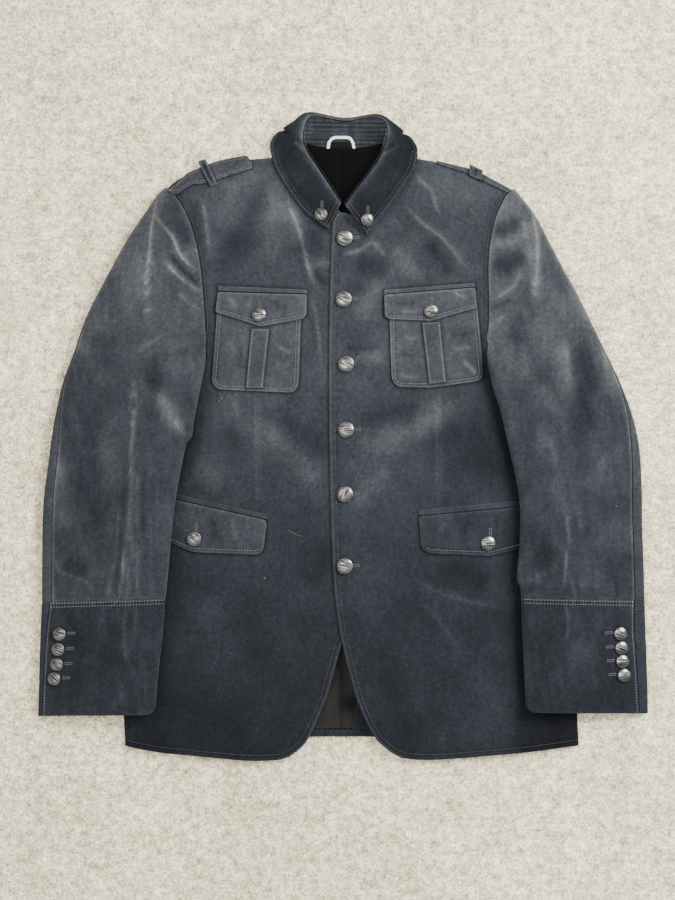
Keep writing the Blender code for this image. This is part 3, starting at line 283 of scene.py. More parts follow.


# Creases of the fronts, and below of the sleeves, cuffs and back: their tone paints highlights along ridges
# and shade in troughs, and the wide flat rows paint broad lighter patches and bands of shadow
FRONT_CREASES = {
    "right": [
        crease(4.5, 2.0, 0.95, (-67, 296), (-64, 272), (-56, 255), (-50, 235), (-44, 210), (-38, 190),
               (-30, 178), (-20, 166)),
        crease(9, 0.8, 0.45, (-66, 276), (-60, 250), (-55, 222)),
        crease(3, 0.8, 0.55, (-41, 174), (-34, 150), (-31, 130), (-28, 108), (-26, 76)),
        crease(4, 0.7, 0.45, (-38, 206), (-26, 206), (-12, 208)),
        crease(6, -1.2, -0.6, (-36, 198), (-26, 186), (-16, 180)),
        crease(8, -0.9, -0.45, (-44, 250), (-34, 226), (-22, 214)),
        crease(5, 1.2, 0.6, (-174, 296), (-167, 272), (-163, 248), (-160, 210)),
        crease(6, -0.8, -0.3, (-181, 284), (-177, 262), (-172, 236), (-168, 210)),
        crease(11, -1.4, -0.5, (-88, 316), (-98, 292), (-112, 258), (-131, 224), (-146, 190)),
        crease(14, 0.8, 0.3, (-82, 318), (-82, 280), (-90, 236), (-96, 192)),
        crease(14, 0.6, 0.28, (-128, 316), (-138, 276), (-150, 240)),
        crease(34, 0.0, 0.3, (-120, 330), (-90, 290), (-70, 240)),
        crease(30, 0.0, 0.2, (-150, 60), (-110, 20), (-60, 0)),
        crease(34, 0.0, -0.2, (-220, -340), (-170, -350), (-100, -350)),
        crease(14, 0.0, -0.5, (-184, 130), (-186, 70), (-190, 10), (-206, -70)),
        crease(12, 0.9, 0.4, (-110, 28), (-88, 4), (-60, -24), (-34, -54), (-14, -78)),
        crease(10, -0.7, -0.25, (-84, 34), (-60, 10), (-34, -10), (-20, -34)),
        crease(12, 0.7, 0.35, (-184, -30), (-164, -46), (-140, -66)),
        crease(9, -0.7, -0.25, (-142, 24), (-134, -10), (-126, -48)),
        crease(5, 0.5, 0.35, (-136, 46), (-128, 34), (-124, 16)),
        crease(13, -0.8, -0.3, (-20, -110), (-30, -150), (-44, -190)),
        crease(9, 0.6, 0.22, (-72, -206), (-66, -246), (-58, -300)),
        crease(18, 0.8, 0.2, (-150, -180), (-162, -236), (-150, -300)),
        crease(14, -0.7, -0.2, (-110, -190), (-104, -250), (-120, -330)),
        crease(10, 0.5, 0.2, (-140, -310), (-112, -292), (-84, -288)),
        crease(6, 0.5, 0.3, (-249, -330), (-253, -352), (-257, -370)),
    ],
    "left": [
        crease(4, 1.7, 0.7, (84, 322), (90, 308), (102, 297), (108, 286), (112, 270), (120, 256)),
        crease(5, 2.0, 0.75, (70, 282), (84, 264), (100, 250), (119, 236), (131, 221), (142, 206),
               (154, 190)),
        crease(8, -1.3, -0.5, (92, 236), (104, 224), (118, 206), (132, 190)),
        crease(3.5, 0.8, 0.5, (57, 262), (64, 254), (74, 247)),
        crease(4.5, 1.7, 0.85, (-8, 214), (6, 218), (20, 222), (34, 231), (42, 224), (54, 210)),
        crease(8, 0.9, 0.5, (56, 232), (70, 212), (84, 196), (100, 184)),
        crease(10, 0.9, 0.45, (52, 196), (40, 178), (28, 156), (18, 128)),
        crease(10, -1.1, -0.45, (8, 204), (34, 202), (58, 190)),
        crease(8, -0.8, -0.35, (2, 182), (14, 178), (26, 184)),
        crease(6, -1.0, -0.5, (-6, 108), (14, 104), (46, 106)),
        crease(7, 0.7, 0.4, (16, 92), (34, 96), (52, 88)),
        crease(9, 0.5, 0.25, (-6, 70), (14, 60), (40, 66)),
        crease(14, 0.6, 0.22, (100, 316), (128, 296), (164, 276)),
        crease(10, -0.6, -0.25, (136, 250), (150, 226), (164, 200)),
        crease(12, 1.1, 0.55, (-10, -16), (20, -9), (56, -6), (84, 2), (108, 20), (134, 36), (160, 52)),
        crease(9, -0.9, -0.35, (14, 24), (40, 22), (72, 28), (96, 40)),
        crease(8, 0.8, 0.4, (0, -88), (18, -76), (38, -56), (64, -32)),
        crease(12, -0.7, -0.25, (60, -10), (100, -6), (150, 10)),
        crease(9, 0.5, 0.2, (112, 0), (115, -36), (116, -82)),
        crease(38, 0.0, -0.4, (90, -50), (130, -40), (200, -20)),
        crease(32, 0.0, -0.3, (150, 40), (180, 0), (215, -60)),
        crease(18, 0.0, -0.5, (192, 120), (204, 50), (224, -30), (240, -110)),
        crease(14, 0.0, -0.45, (236, -120), (246, -200), (250, -300), (254, -380)),
        crease(30, 0.0, 0.3, (80, -350), (150, -360), (250, -350)),
        crease(5, 1.2, 0.45, (72, -164), (96, -178), (124, -191), (160, -200), (206, -210)),
        crease(13, -1.4, -0.5, (108, -158), (140, -168), (182, -180)),
        crease(5, 1.1, 0.4, (88, -194), (106, -212), (124, -234), (144, -260)),
        crease(12, -0.8, -0.25, (130, -214), (150, -236), (172, -256)),
        crease(8, 0.5, 0.2, (92, -262), (90, -300), (88, -346)),
        crease(12, -0.6, -0.2, (44, -230), (52, -280), (66, -330)),
        crease(14, 0.6, 0.2, (180, -262), (176, -300), (190, -350)),
        crease(5, 0.4, 0.3, (242, -336), (244, -352), (244, -368)),
        # Painted shadow just below the left collar leaf's front edge
        crease(2.6, -0.8, -1.0, (-4, 264.5), (6, 257), (15, 249), (28, 237)),
        crease(3, 0.5, 0.4, (118, -352), (119, -372), (119, -386)),
    ],
}
SLEEVE_CREASES = {
    "right": [
        crease(3.6, 1.5, 0.95, (-219, 298), (-226, 270), (-230, 244), (-232, 214), (-235, 188),
               (-234, 160), (-231, 136), (-233, 108)),
        crease(12, 0.8, 0.3, (-240, 226), (-242, 196), (-238, 160)),
        crease(4, 2.6, 1.2, (-230, 268), (-214, 250), (-203, 236), (-197, 221), (-190, 210), (-180, 202),
               (-166, 199)),
        crease(5, -2.4, -1.0, (-212, 222), (-200, 208), (-188, 194), (-168, 176)),
        crease(4, 2.0, 0.9, (-220, 216), (-207, 201), (-192, 187), (-178, 177), (-162, 171)),
        crease(12, -1.0, -0.5, (-214, 286), (-204, 262), (-192, 240), (-184, 216)),
        crease(5, 1.0, 0.5, (-202, 178), (-188, 162), (-168, 148)),
        crease(7, -0.8, -0.3, (-214, 196), (-202, 176), (-190, 158)),
        crease(6, 1.3, 0.5, (-212, 124), (-228, 112), (-242, 106), (-250, 96)),
        crease(3.4, 1.8, 0.75, (-247, 108), (-251, 76), (-249, 44), (-251, 4), (-253, -36), (-252, -76)),
        crease(5, 1.2, 0.45, (-252, -10), (-253, -60), (-257, -110), (-262, -150), (-262, -200)),
        crease(9, -1.0, -0.35, (-232, 100), (-226, 76), (-232, 52)),
        crease(8, 1.6, 0.7, (-232, 54), (-214, 40), (-200, 20), (-187, -2)),
        crease(4, 1.0, 0.6, (-204, 20), (-195, 8), (-184, -4)),
        crease(13, 0.8, 0.55, (-346, -10), (-344, -50), (-342, -84), (-346, -124)),
        crease(15, -0.8, -0.35, (-300, 60), (-306, 0), (-300, -60), (-296, -130)),
        crease(10, 0.7, 0.3, (-276, 40), (-280, -20), (-278, -84)),
        crease(3, 0.9, 0.6, (-348, -140), (-341, -160), (-322, -169), (-304, -177), (-297, -198)),
        crease(9, -0.9, -0.45, (-338, -146), (-322, -156), (-306, -168)),
        crease(3, 1.0, 0.5, (-270, -140), (-276, -166), (-281, -198)),
        crease(2.6, 0.9, 0.5, (-262, -132), (-264, -166), (-268, -198)),
        crease(2.6, 0.9, 0.55, (-256, -150), (-256, -176), (-258, -198)),
        crease(3, 0.9, 0.4, (-244, -120), (-246, -160), (-246, -198)),
        crease(4, 0.6, 0.3, (-228, -100), (-230, -150), (-230, -196)),
        crease(2.6, 0.7, 0.45, (-272, -40), (-274, -90), (-282, -140), (-286, -176)),
        crease(2.4, 0.6, 0.4, (-264, -70), (-269, -110), (-271, -160)),
        crease(2.4, 0.6, 0.4, (-243, -30), (-246, -80), (-243, -130)),
        crease(2.4, 0.6, 0.35, (-251, -90), (-252, -130), (-250, -170)),
        crease(5, -0.7, -0.35, (-259, -30), (-262, -80), (-268, -130), (-272, -196)),
        crease(6, -0.7, -0.35, (-236, -20), (-238, -70), (-238, -140)),
        crease(10, 0.6, 0.3, (-322, 90), (-304, 120), (-288, 146)),
        crease(10, -0.6, -0.3, (-300, 130), (-286, 104), (-284, 70)),
    ],
    "left": [
        crease(9, -1.8, -0.85, (178, 240), (196, 247), (216, 256)),
        crease(7, 1.6, 0.6, (170, 224), (192, 231), (210, 241), (228, 262)),
        crease(9, -1.9, -0.8, (172, 206), (192, 203), (208, 212), (216, 222)),
        crease(5, 1.5, 0.6, (170, 160), (192, 170), (206, 184), (214, 206)),
        crease(5, -1.1, -0.5, (172, 152), (186, 156), (204, 166)),
        crease(4, 0.9, 0.45, (170, 128), (184, 138), (200, 150)),
        crease(9, -0.9, -0.35, (200, 150), (212, 130), (206, 100)),
        crease(5.5, 1.9, 0.85, (222, 282), (229, 256), (232, 230), (232, 204), (229, 172), (228, 146)),
        crease(8, -0.9, -0.35, (244, 240), (246, 210), (258, 180), (266, 160)),
        crease(11, -1.7, -0.7, (276, 128), (288, 94), (290, 60), (286, 20), (284, -24)),
        crease(9, 1.2, 0.45, (262, 120), (266, 80), (266, 40)),
        crease(9, 1.1, 0.5, (304, 116), (318, 80), (330, 44)),
        crease(7, 0.8, 0.35, (226, 66), (246, 40), (262, 10)),
        crease(7, 0.8, 0.3, (222, 20), (244, -8), (262, -44)),
        crease(10, -0.6, -0.25, (212, 80), (216, 40), (222, 0)),
        crease(3.6, 2.0, 0.85, (261, -70), (266, -98), (268, -124), (265, -158), (261, -198)),
        crease(9, 0.7, 0.3, (250, -40), (256, -80), (258, -120)),
        crease(12, -1.2, -0.5, (222, -136), (240, -142), (258, -146)),
        crease(4.5, 1.3, 0.6, (206, -177), (224, -171), (248, -160)),
        crease(4, -0.8, -0.4, (208, -184), (224, -182), (244, -180)),
        crease(3, 0.7, 0.45, (268, -160), (274, -180), (278, -198)),
        crease(2.6, 0.7, 0.45, (282, -166), (286, -182), (291, -198)),
        crease(2.6, 0.6, 0.35, (300, -172), (304, -186), (305, -198)),
        crease(4, -0.8, -0.45, (322, -160), (326, -180), (330, -198)),
        crease(2, 0.4, 0.3, (275, -84), (281, -98), (285, -114)),
        crease(12, 0.6, 0.25, (322, -90), (330, -120), (326, -150)),
        crease(10, 0.6, 0.25, (300, -10), (310, -50), (318, -84)),
    ],
}
CUFF_CREASES = {
    "right": [
        crease(5, 0.9, 0.5, (-281, -196), (-288, -218), (-288, -248)),
        crease(4, 0.9, 0.5, (-258, -196), (-262, -232), (-260, -258), (-256, -282)),
        crease(3.5, 0.6, 0.35, (-246, -196), (-248, -224), (-252, -262)),
        crease(6, 0.6, 0.35, (-276, -338), (-272, -320), (-256, -304)),
        crease(4, 0.4, 0.25, (-236, -230), (-228, -252), (-220, -266)),
        crease(10, -0.6, -0.3, (-330, -206), (-322, -250), (-320, -310)),
        crease(8, -0.6, -0.25, (-270, -210), (-276, -246), (-284, -284)),
    ],
    "left": [
        crease(3.5, 1.1, 0.7, (262, -194), (268, -214), (268, -232), (260, -252)),
        crease(12, 0.6, 0.25, (262, -258), (282, -262), (300, -252)),
        crease(10, -0.5, -0.2, (236, -214), (238, -254), (234, -300)),
        crease(4, 0.4, 0.3, (300, -204), (304, -222), (302, -240)),
        crease(2.5, 0.3, 0.3, (300, -286), (303, -294), (302, -304)),
        crease(9, -0.5, -0.2, (312, -300), (308, -316), (306, -334)),
    ],
}
# Darts sewn into each front, from the chest pocket to the hip flap
DARTS = {
    "right": [(-103, 49), (-102, 0), (-101, -50), (-99, -88)],
    "left": [(113, 56), (114, 0), (115, -50), (116, -84)],
}
BACK_CREASES = [
    crease(12, 0.8, 0.4, (-150, 250), (-110, 200), (-60, 176)),
    crease(10, 0.7, 0.35, (150, 244), (104, 214), (62, 160)),
    crease(14, 0.7, 0.3, (-190, 20), (-120, -10), (-50, 4)),
    crease(12, 0.8, 0.35, (196, -30), (130, -44), (70, -20)),
    crease(11, 0.6, 0.3, (-206, -120), (-150, -160), (-90, -172)),
    crease(14, 0.7, 0.25, (210, -190), (150, -214), (96, -260)),
    crease(10, 0.6, 0.3, (-60, -250), (-40, -200), (-46, -140)),
]

# Brightness painted down each kind of panel, darker towards the hem and cuffs, partly standing in for how
# the light falls off: height y against the log of its share of the plain colour
BRIGHTNESS_DOWN = {
    "front": [(-390, -0.98), (-300, -0.78), (-170, -0.56), (-60, -0.32), (60, -0.16), (340, -0.06)],
    "sleeve_right": [(-200, -0.12), (-80, -0.22), (40, -0.2), (120, 0.1), (290, 0.3)],
    "sleeve_left": [(-200, -0.48), (-80, -0.38), (40, -0.16), (120, 0.24), (290, 0.42)],
    "cuff_right": [(-340, -0.72), (-200, -0.55)],
    "cuff_left": [(-340, -0.82), (-200, -0.72)],
}

# Spacing in mm of the points inside the fronts and inside what is sewn on them
SPACING_FRONT = 3.0
SPACING_TRIM = 2.4
# Rings of points that round off a cloth edge, at these shares of the cloth's thickness from it
EDGE_STEPS = (0.16, 0.42, 0.9)
# How deep a stitch line is pressed in
STITCH_DEPTH = 0.45
# Runs of points beside a stitch line, in mm from it, so that it can be pressed in
GUIDE_RUNS = (-2.2, -0.9, 0.0, 0.9, 2.2)
# Spacing of points along the cut edges of the fronts and of the hidden back
EDGE_SPACING = 3.2
BACK_SPACING = 6.0
# Half width of the painted shade line round what is sewn on, and radius of the cuffs' inner lower corners
EDGE_SHADE_HALF = 2.4
CORNER_RADIUS = 13.0
# Height at which each sleeve's inner edge has a nick, and how far the cloth swells above it
EDGE_NICK = {"right": (-7.0, 5.0), "left": (-178.0, 3.0)}
# Corners of the pieces whose top edges have no stitching
BARE_TOPS = {
    "chest_pocket_": {"right": (0, 1), "left": (0, 1)},
    "chest_flap_": {"right": (5, 0, 1, 2), "left": (5, 0, 1, 2)},
    "hip_flap_": {"right": (6, 0, 1, 2, 3), "left": (7, 0, 1, 2, 3)},
}
# Brightness of single pieces, lighter above 0, the left epaulette's darker as painted shade; and the line
# that parts the halves of each epaulette loop, its groove painted dark as shade
HIP_TONE = {"right": 0.35, "left": -0.02}
EPAULETTE_TONE = {"right": 0.1, "left": -0.1}
LOOP_GROOVE = {
    "right": [crease(2.2, -0.6, -1.1, (-170, 331.5), (-154, 299.5))],
    "left": [crease(2.2, -0.6, -0.9, (159.6, 322.4), (159.2, 309))],
}
# Stitching along the front edges: how far in, and its first points that lie hidden
EDGE_STITCH = 7.0
HIDDEN_START = {"right": 95, "left": 14}
# Painted shadow on a front beside its sleeve
SLEEVE_SHADE = {"right": 0.45, "left": 0.7}
# Creases: share of their given width and tone, width of the crisp ones, and the half width in mm
# from which they are soft; how far they reach in half widths, and the share at each end that fades
CREASE_WIDTH = 0.86
CREASE_TONE = 1.12
CRISP_WIDTH = 0.72
SOFT_CREASE = 6.5
CREASE_REACH = 4.5
CREASE_END = 0.28
CREASE_STEP = 5.0
# Painted shade on a front beside what lies on it, under a collar leaf and along the armhole: depth, width
SEWN_SHADE = 0.7
LEAF_SHADE = (0.45, 5.5)
ARMHOLE_SHADES = [(0.9, 2.6), (0.25, 9.0)]
# A dart's groove, and the painted highlight on both sides of it: depth or tone, distance, half width
DART_GROOVE = (0.5, 1.8)
DART_HIGHLIGHT = (0.3, 2.4, 1.6)
# Points across a top sleeve, an under sleeve, the fall and the stand, and spacing along them
TOP_COLUMNS = 96
TOP_SPACING = 2.6
UNDER_COLUMNS = 30
UNDER_SPACING = 4.5
FALL_COLUMNS = 60
STAND_COLUMNS = 24
COLLAR_SPACING = 2.2

# Where the camera stands over the laid jacket, and the frame that it sees, in metres
AIM = (-0.0066, -0.0168)
CAMERA_HEIGHT = 3.3
FRAME_LONG = 1.08
FOCUS_HEIGHT = 0.008
FLOOR_HALF = 3.0
FLOOR_Z = -0.0004

# Height in mm from which lines are dropped on the cloth, and radii of its finer and heavier threads
ABOVE_ALL = 200.0
FINE_THREAD = 0.3
THREAD = 0.36
THREAD_SIDES = 5
# A stitch is left out where the cloth below it steps up or down by more than this
STEP_HEIGHT = 2.0
# Buttonholes: pitch of the wraps, half the slit's width and how far the wraps reach
WRAP_PITCH = 0.85
SLIT_HALF = 0.25
WRAP_REACH = 1.9


def ease(value):
    """Smooth step from 0 to 1."""
    u = np.clip(value, 0.0, 1.0)
    return u * u * (3.0 - 2.0 * u)


def bell(distance, half):
    """1 at distance 0, fading smoothly on both sides over about half."""
    return np.exp(-(distance / half) ** 2)


def lens(value):
    """Rise of cloth from a folded edge."""
    u = np.clip(value, 0.0, 1.0)
    return 1.0 - (1.0 - u) * (1.0 - u)


def along(table, key):
    """Value of a table of pairs at a key, straight between its rows."""
    rows = sorted(table)
    return np.interp(key, [r[0] for r in rows], [r[1] for r in rows])


def wobble(x, y, size, seed):
    """Smooth noise over the plane, about -1 to 1, with patches about size across."""
    flat = zip((x / size).ravel().tolist(), (y / size).ravel().tolist())
    values = [noise.noise(Vector((a, b, seed))) for a, b in flat]
    return 1.6 * np.array(values).reshape(x.shape)


def catmull(p0, p1, p2, p3, u):
    """Point of the smooth curve between p1 and p2."""
    p0, p1, p2, p3 = (np.asarray(p, float) for p in (p0, p1, p2, p3))
    return 0.5 * (2 * p1 + (p2 - p0) * u + (2 * p0 - 5 * p1 + 4 * p2 - p3) * u * u
                  + (3 * p1 - p0 - 3 * p2 + p3) * u ** 3)


def in_fours(rows):
    """For each gap between two rows: the row before it, its two rows and the row after it."""
    last = len(rows) - 1
    return [(rows[max(i - 1, 0)], rows[i], rows[i + 1], rows[min(i + 2, last)]) for i in range(last)]


def row_between(four, u):
    """A table row worked out between the two middle ones of four."""
    return {key: catmull(*[row[key] for row in four], u) for key in four[1]}


def curve_through(points, step):
    """Smooth curve through a run of points, with a point about every step."""
    points = [tuple(p) for p in points]
    result = [points[0]]
    for four in in_fours(points):
        count = max(1, round(math.dist(four[1], four[2]) / step))
        result += [tuple(catmull(*four, k / count)) for k in range(1, count + 1)]
    return result


def straight_through(points, step):
    """Straight runs between corners, with a point about every step."""
    result = [tuple(points[0])]
    for p1, p2 in zip(points, points[1:]):
        count = max(1, round(math.dist(p1, p2) / step))
        result += [lerp(p1, p2, k / count) for k in range(1, count + 1)]
    return result


def rounded(corners, radius, step):
    """Closed outline with its corners rounded, and a point about every step."""
    points = []
    count = len(corners)
    for i in range(count):
        corner = corners[i]
        before = toward(corner, corners[i - 1], min(radius, 0.4 * math.dist(corner, corners[i - 1])))
        nxt = corners[(i + 1) % count]
        after = toward(corner, nxt, min(radius, 0.4 * math.dist(corner, nxt)))
        for k in range(4):
            u = k / 3
            points.append(lerp(lerp(before, corner, u), lerp(corner, after, u), u))
    return straight_through(points + points[:1], step)[:-1]


def join_runs(runs):
    """One closed outline from runs that meet end to end."""
    outline = []
    for run in runs:
        for point in run:
            if not outline or math.dist(point, outline[-1]) > 0.5:
                outline.append(tuple(point))
    if math.dist(outline[0], outline[-1]) < 0.5:
        outline.pop()
    return outline


def lerp(a, b, t):
    """Point at a share t of the way from a to b."""
    return tuple(p + (q - p) * t for p, q in zip(a, b))


def toward(a, b, distance):
    """Point a moved by a distance towards b."""
    return lerp(a, b, distance / math.dist(a, b))


def line_distance(x, y, line):
    """Distance of each point to a run of points, and how far along the run it is nearest, 0 to 1."""
    line = np.asarray(line, float)
    steps = np.diff(line, axis=0)
    lengths = np.hypot(steps[:, 0], steps[:, 1])
    starts = np.concatenate([[0.0], np.cumsum(lengths)])
    best = np.full(x.shape, 1e9)
    share = np.zeros(x.shape)
    for i, (dx, dy) in enumerate(steps):
        if lengths[i] < 1e-6:
            continue
        rx = x - line[i, 0]
        ry = y - line[i, 1]
        t = np.clip((rx * dx + ry * dy) / lengths[i] ** 2, 0, 1)
        distance = np.hypot(rx - t * dx, ry - t * dy)
        nearer = distance < best
        best = np.where(nearer, distance, best)
        share = np.where(nearer, (starts[i] + t * lengths[i]) / starts[-1], share)
    return best, share


def closed(outline):
    """An outline with its first point once more at its end."""
    return list(outline) + [outline[0]]


def inside(outline, x, y):
    """Which points lie inside a closed outline."""
    found = np.zeros(x.shape, bool)
    previous = outline[-1]
    for current in outline:
        if current[1] != previous[1]:
            span = (current[1] > y) != (previous[1] > y)
            cross = ((previous[0] - current[0]) * (y - current[1]) / (previous[1] - current[1])
                     + current[0])
            found ^= span & (x < cross)
        previous = current
    return found


def fold_height(folds, x, y):
    """The model's soft straight ridges, which fade at their ends."""
    total = 0.0 * x
    for row in folds:
        dx = row["x2"] - row["x1"]
        dy = row["y2"] - row["y1"]
        u = ((x - row["x1"]) * dx + (y - row["y1"]) * dy) / (dx * dx + dy * dy)
        across = ((x - row["x1"]) * dy - (y - row["y1"]) * dx) / math.hypot(dx, dy)
        fade = ease((u + 0.25) / 0.45) * ease((1.25 - u) / 0.45)
        total = total + row["rise"] * fade * bell(across, row["half"])
    return total


def creases_at(rows, x, y):
    """Height of the creases at each point, and the painted highlight and shade that they add to the tone."""
    rise = np.zeros(x.shape)
    tone = np.zeros(x.shape)
    for row in rows:
        line = np.array(curve_through(row["points"], CREASE_STEP))
        reach = CREASE_REACH * row["half"]
        low = line.min(0) - reach
        high = line.max(0) + reach
        near = (x > low[0]) & (x < high[0]) & (y > low[1]) & (y < high[1])
        if not near.any():
            continue
        distance, share = line_distance(x[near], y[near], line)
        taper = ease(share / CREASE_END) * ease((1.0 - share) / CREASE_END)
        sharp = row["half"] < SOFT_CREASE
        uneven = wobble(x[near], y[near], 24.0, 33.0 + line[0, 0])
        half = row["half"] * CREASE_WIDTH * (0.55 + 0.45 * taper)
        half = half * (1.0 + 0.22 * uneven) * (CRISP_WIDTH if sharp else 1.0)
        soft = bell(distance, 1.6 * half)
        rise[near] += row["rise"] * taper * (0.7 * bell(distance, half) + 0.3 * soft)
        crisp = bell(distance, 0.5 * half)
        mark = (0.48 * crisp + 0.42 * soft) if sharp else 0.9 * soft
        vary = 0.3 if sharp else 0.12
        tone[near] += row["tone"] * CREASE_TONE * taper * mark * (1.0 + vary * uneven)
    return rise, tone


def side_edge(side, y):
    """How far out the laid body reaches at height y."""
    return np.abs(along(SIDE[side], y)) + SLEEVE_FLARE * np.maximum(y - UNDERARM_Y, 0.0)


def body_height_on(side, x, y):
    """Underside of one front, from the side edge, hem and shoulder inward."""
    inward = side_edge(side, y) - np.abs(x)
    across = lens(inward / SIDE_REACH)
    from_hem = HEM_SHARE + (1.0 - HEM_SHARE) * lens((y - HEM_Y) / HEM_REACH)
    shoulder = lens((along(SHOULDER[side], x) - y) / SHOULDER_REACH)
    floor = PANEL_BACK + REST + 1.2 * lens(inward / 22.0)
    return (floor + BODY_LOFT * across * from_hem * shoulder
            + fold_height(FRONT_FOLDS, x, y) * shoulder)


def body_height(x, y):
    """Underside of the fronts: how high the laid body stands."""
    return np.where(x > 0, body_height_on("left", x, y), body_height_on("right", x, y))


def front_under(side, x, y):
    """Underside of a front, with the left one lifted where it laps over the right."""
    height = body_height(x, y)
    if side == "left":
        height = height + OVERLAP_LIFT * (1.0 - ease((x - OVERLAP_FULL) / (OVERLAP_GONE - OVERLAP_FULL)))
    return height


def front_top(side, x, y):
    """Upper side of a front, as the model has it."""
    dx = (front_under(side, x + 1, y) - front_under(side, x - 1, y)) / 2
    dy = (front_under(side, x, y + 1) - front_under(side, x, y - 1)) / 2
    return front_under(side, x, y) + CLOTH * np.sqrt(1 + dx * dx + dy * dy)


def front_relief(side, x, y):
    """Height of a front's creases and uneven lie over the model's surface, and its tone: uneven pile, the
    creases' painted highlights and shade, brightness painted down the front, and a painted shadow beside the
    sleeve.
    """
    rise, tone = creases_at(FRONT_CREASES[side], x, y)
    covered = 1.0 - ease((np.abs(x) - 196.0) / 14.0) * ease((y + 340.0) / 30.0)
    shoulder = ease((along(SHOULDER[side], x) - y) / 26.0)
    uneven = 0.45 * wobble(x, y, 52.0, 3.1) + 0.18 * wobble(x, y, 19.0, 7.7)
    tone = tone + 0.12 * wobble(x, y, 38.0, 11.3) + along(BRIGHTNESS_DOWN["front"], y)
    beside = along([(r["in"][1], abs(r["in"][0])) for r in RINGS[side] + CUFF_RINGS[side]], y) - np.abs(x)
    # Painted shadow on the front beside the sleeve
    sleeve_shadow = SLEEVE_SHADE[side] * bell(np.maximum(beside, 0.0), 17.0) * ease((150.0 - y) / 80.0)
    return (rise + uneven) * covered * shoulder, tone - sleeve_shadow


def sleeve_under(x, y):
    """Underside of a sleeve: on the floor outside the body, over the front inside it."""
    side = "left" if np.mean(x) > 0 else "right"
    edge = side_edge(side, np.minimum(y, UNDERARM_Y))
    outward = np.abs(x) - edge
    margin = 1.5 + 2.0 * ease(-y / 60.0)
    line = UNDERARM_Y + (edge - np.abs(x)) * 0.164
    above = 1.0 - ease((y - line - 2.0) / 36.0)
    inside_x = SIDES[side] * np.minimum(np.abs(x), edge)
    base = front_top(side, inside_x, np.minimum(y, line)) + margin
    return base * above * (1.0 - ease((outward - 3.0) / 46.0))


# Upper side of each cloth piece, in millimetres, for what is sewn on it
surfaces = {}


def mesh_object(name, points, faces, look):
    """Object from points in millimetres and triangles."""
    mesh = bpy.data.meshes.new(name)
    mesh.from_pydata((np.asarray(points) * MM).tolist(), [], np.asarray(faces).tolist())
    mesh.materials.append(look)
    mesh.shade_smooth()
    item = bpy.data.objects.new(name, mesh)
    bpy.context.scene.collection.objects.link(item)
    return item


def give_values(item, name, values):
    """A number for each point of an object, which its look reads."""
    layer = item.data.attributes.new(name, "FLOAT", "POINT")
    layer.data.foreach_set("value", values.astype(np.float32))


def face_vectors(points, faces):
    """Normal of each triangle, twice its area long."""
    return np.cross(points[faces[:, 1]] - points[faces[:, 0]], points[faces[:, 2]] - points[faces[:, 0]])


def vertex_normals(points, faces):
    """Unit normal at each point, from its triangles by their size."""
    cross = face_vectors(points, faces)
    normals = np.zeros(points.shape)
    for k in range(3):
        np.add.at(normals, faces[:, k], cross)
    return normals / np.maximum(np.linalg.norm(normals, axis=1), 1e-9)[:, None]


def shell(node, points, faces, thickness, edge, tone, look="velvet",
          edge_highlight=0.0):
    """Closed cloth wall below a surface, with round edges where edge, the distance to the rim, is 0."""
    normals = vertex_normals(points, faces)
    radius = thickness / 2
    u = np.clip(1.0 - edge / radius, 0.0, 1.0)
    drop = radius * (1.0 - np.sqrt(1.0 - u * u))
    upper = points - normals * drop[:, None]
    lower = points - normals * (thickness - drop)[:, None]
    rim = edge <= 0.0
    faces = faces[~rim[faces].all(axis=1)]
    count = len(points)
    index = np.arange(count)
    below = index.copy()
    below[~rim] = count + np.arange((~rim).sum())
    all_points = np.vstack([upper, lower[~rim]])
    all_faces = np.vstack([faces, below[faces][:, ::-1]])
    name = node + "_cloth"
    item = mesh_object(name, all_points, all_faces, looks[look])
    # Tone plus a painted highlight along the cut edges, standing in for the velvet's sheen
    shade = np.exp(np.clip(tone + edge_highlight * np.exp(-edge / 1.3), -2.2, 1.9))
    # Per-point brightness: uneven pile together with painted highlights and painted shade
    give_values(item, "nap", np.concatenate([shade, shade[~rim]]))
    surfaces[node] = (upper, faces)
    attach(item, "root")
    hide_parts(node)
    return item


def left_of(tangent):
    """Unit vectors to the left of a run's tangents."""
    unit = tangent / np.maximum(np.linalg.norm(tangent, axis=1), 1e-9)[:, None]
    return np.stack([-unit[:, 1], unit[:, 0]], axis=1)


def offset_inward(outline, distance):
    """The outline's points moved inward, which is to the left of an anticlockwise run."""
    points = np.asarray(outline, float)
    x, y = points.T
    area = 0.5 * np.sum(x * np.roll(y, -1) - np.roll(x, -1) * y)
    turn = 1.0 if area > 0 else -1.0
    return points + distance * turn * left_of(np.roll(points, -1, axis=0) - np.roll(points, 1, axis=0))


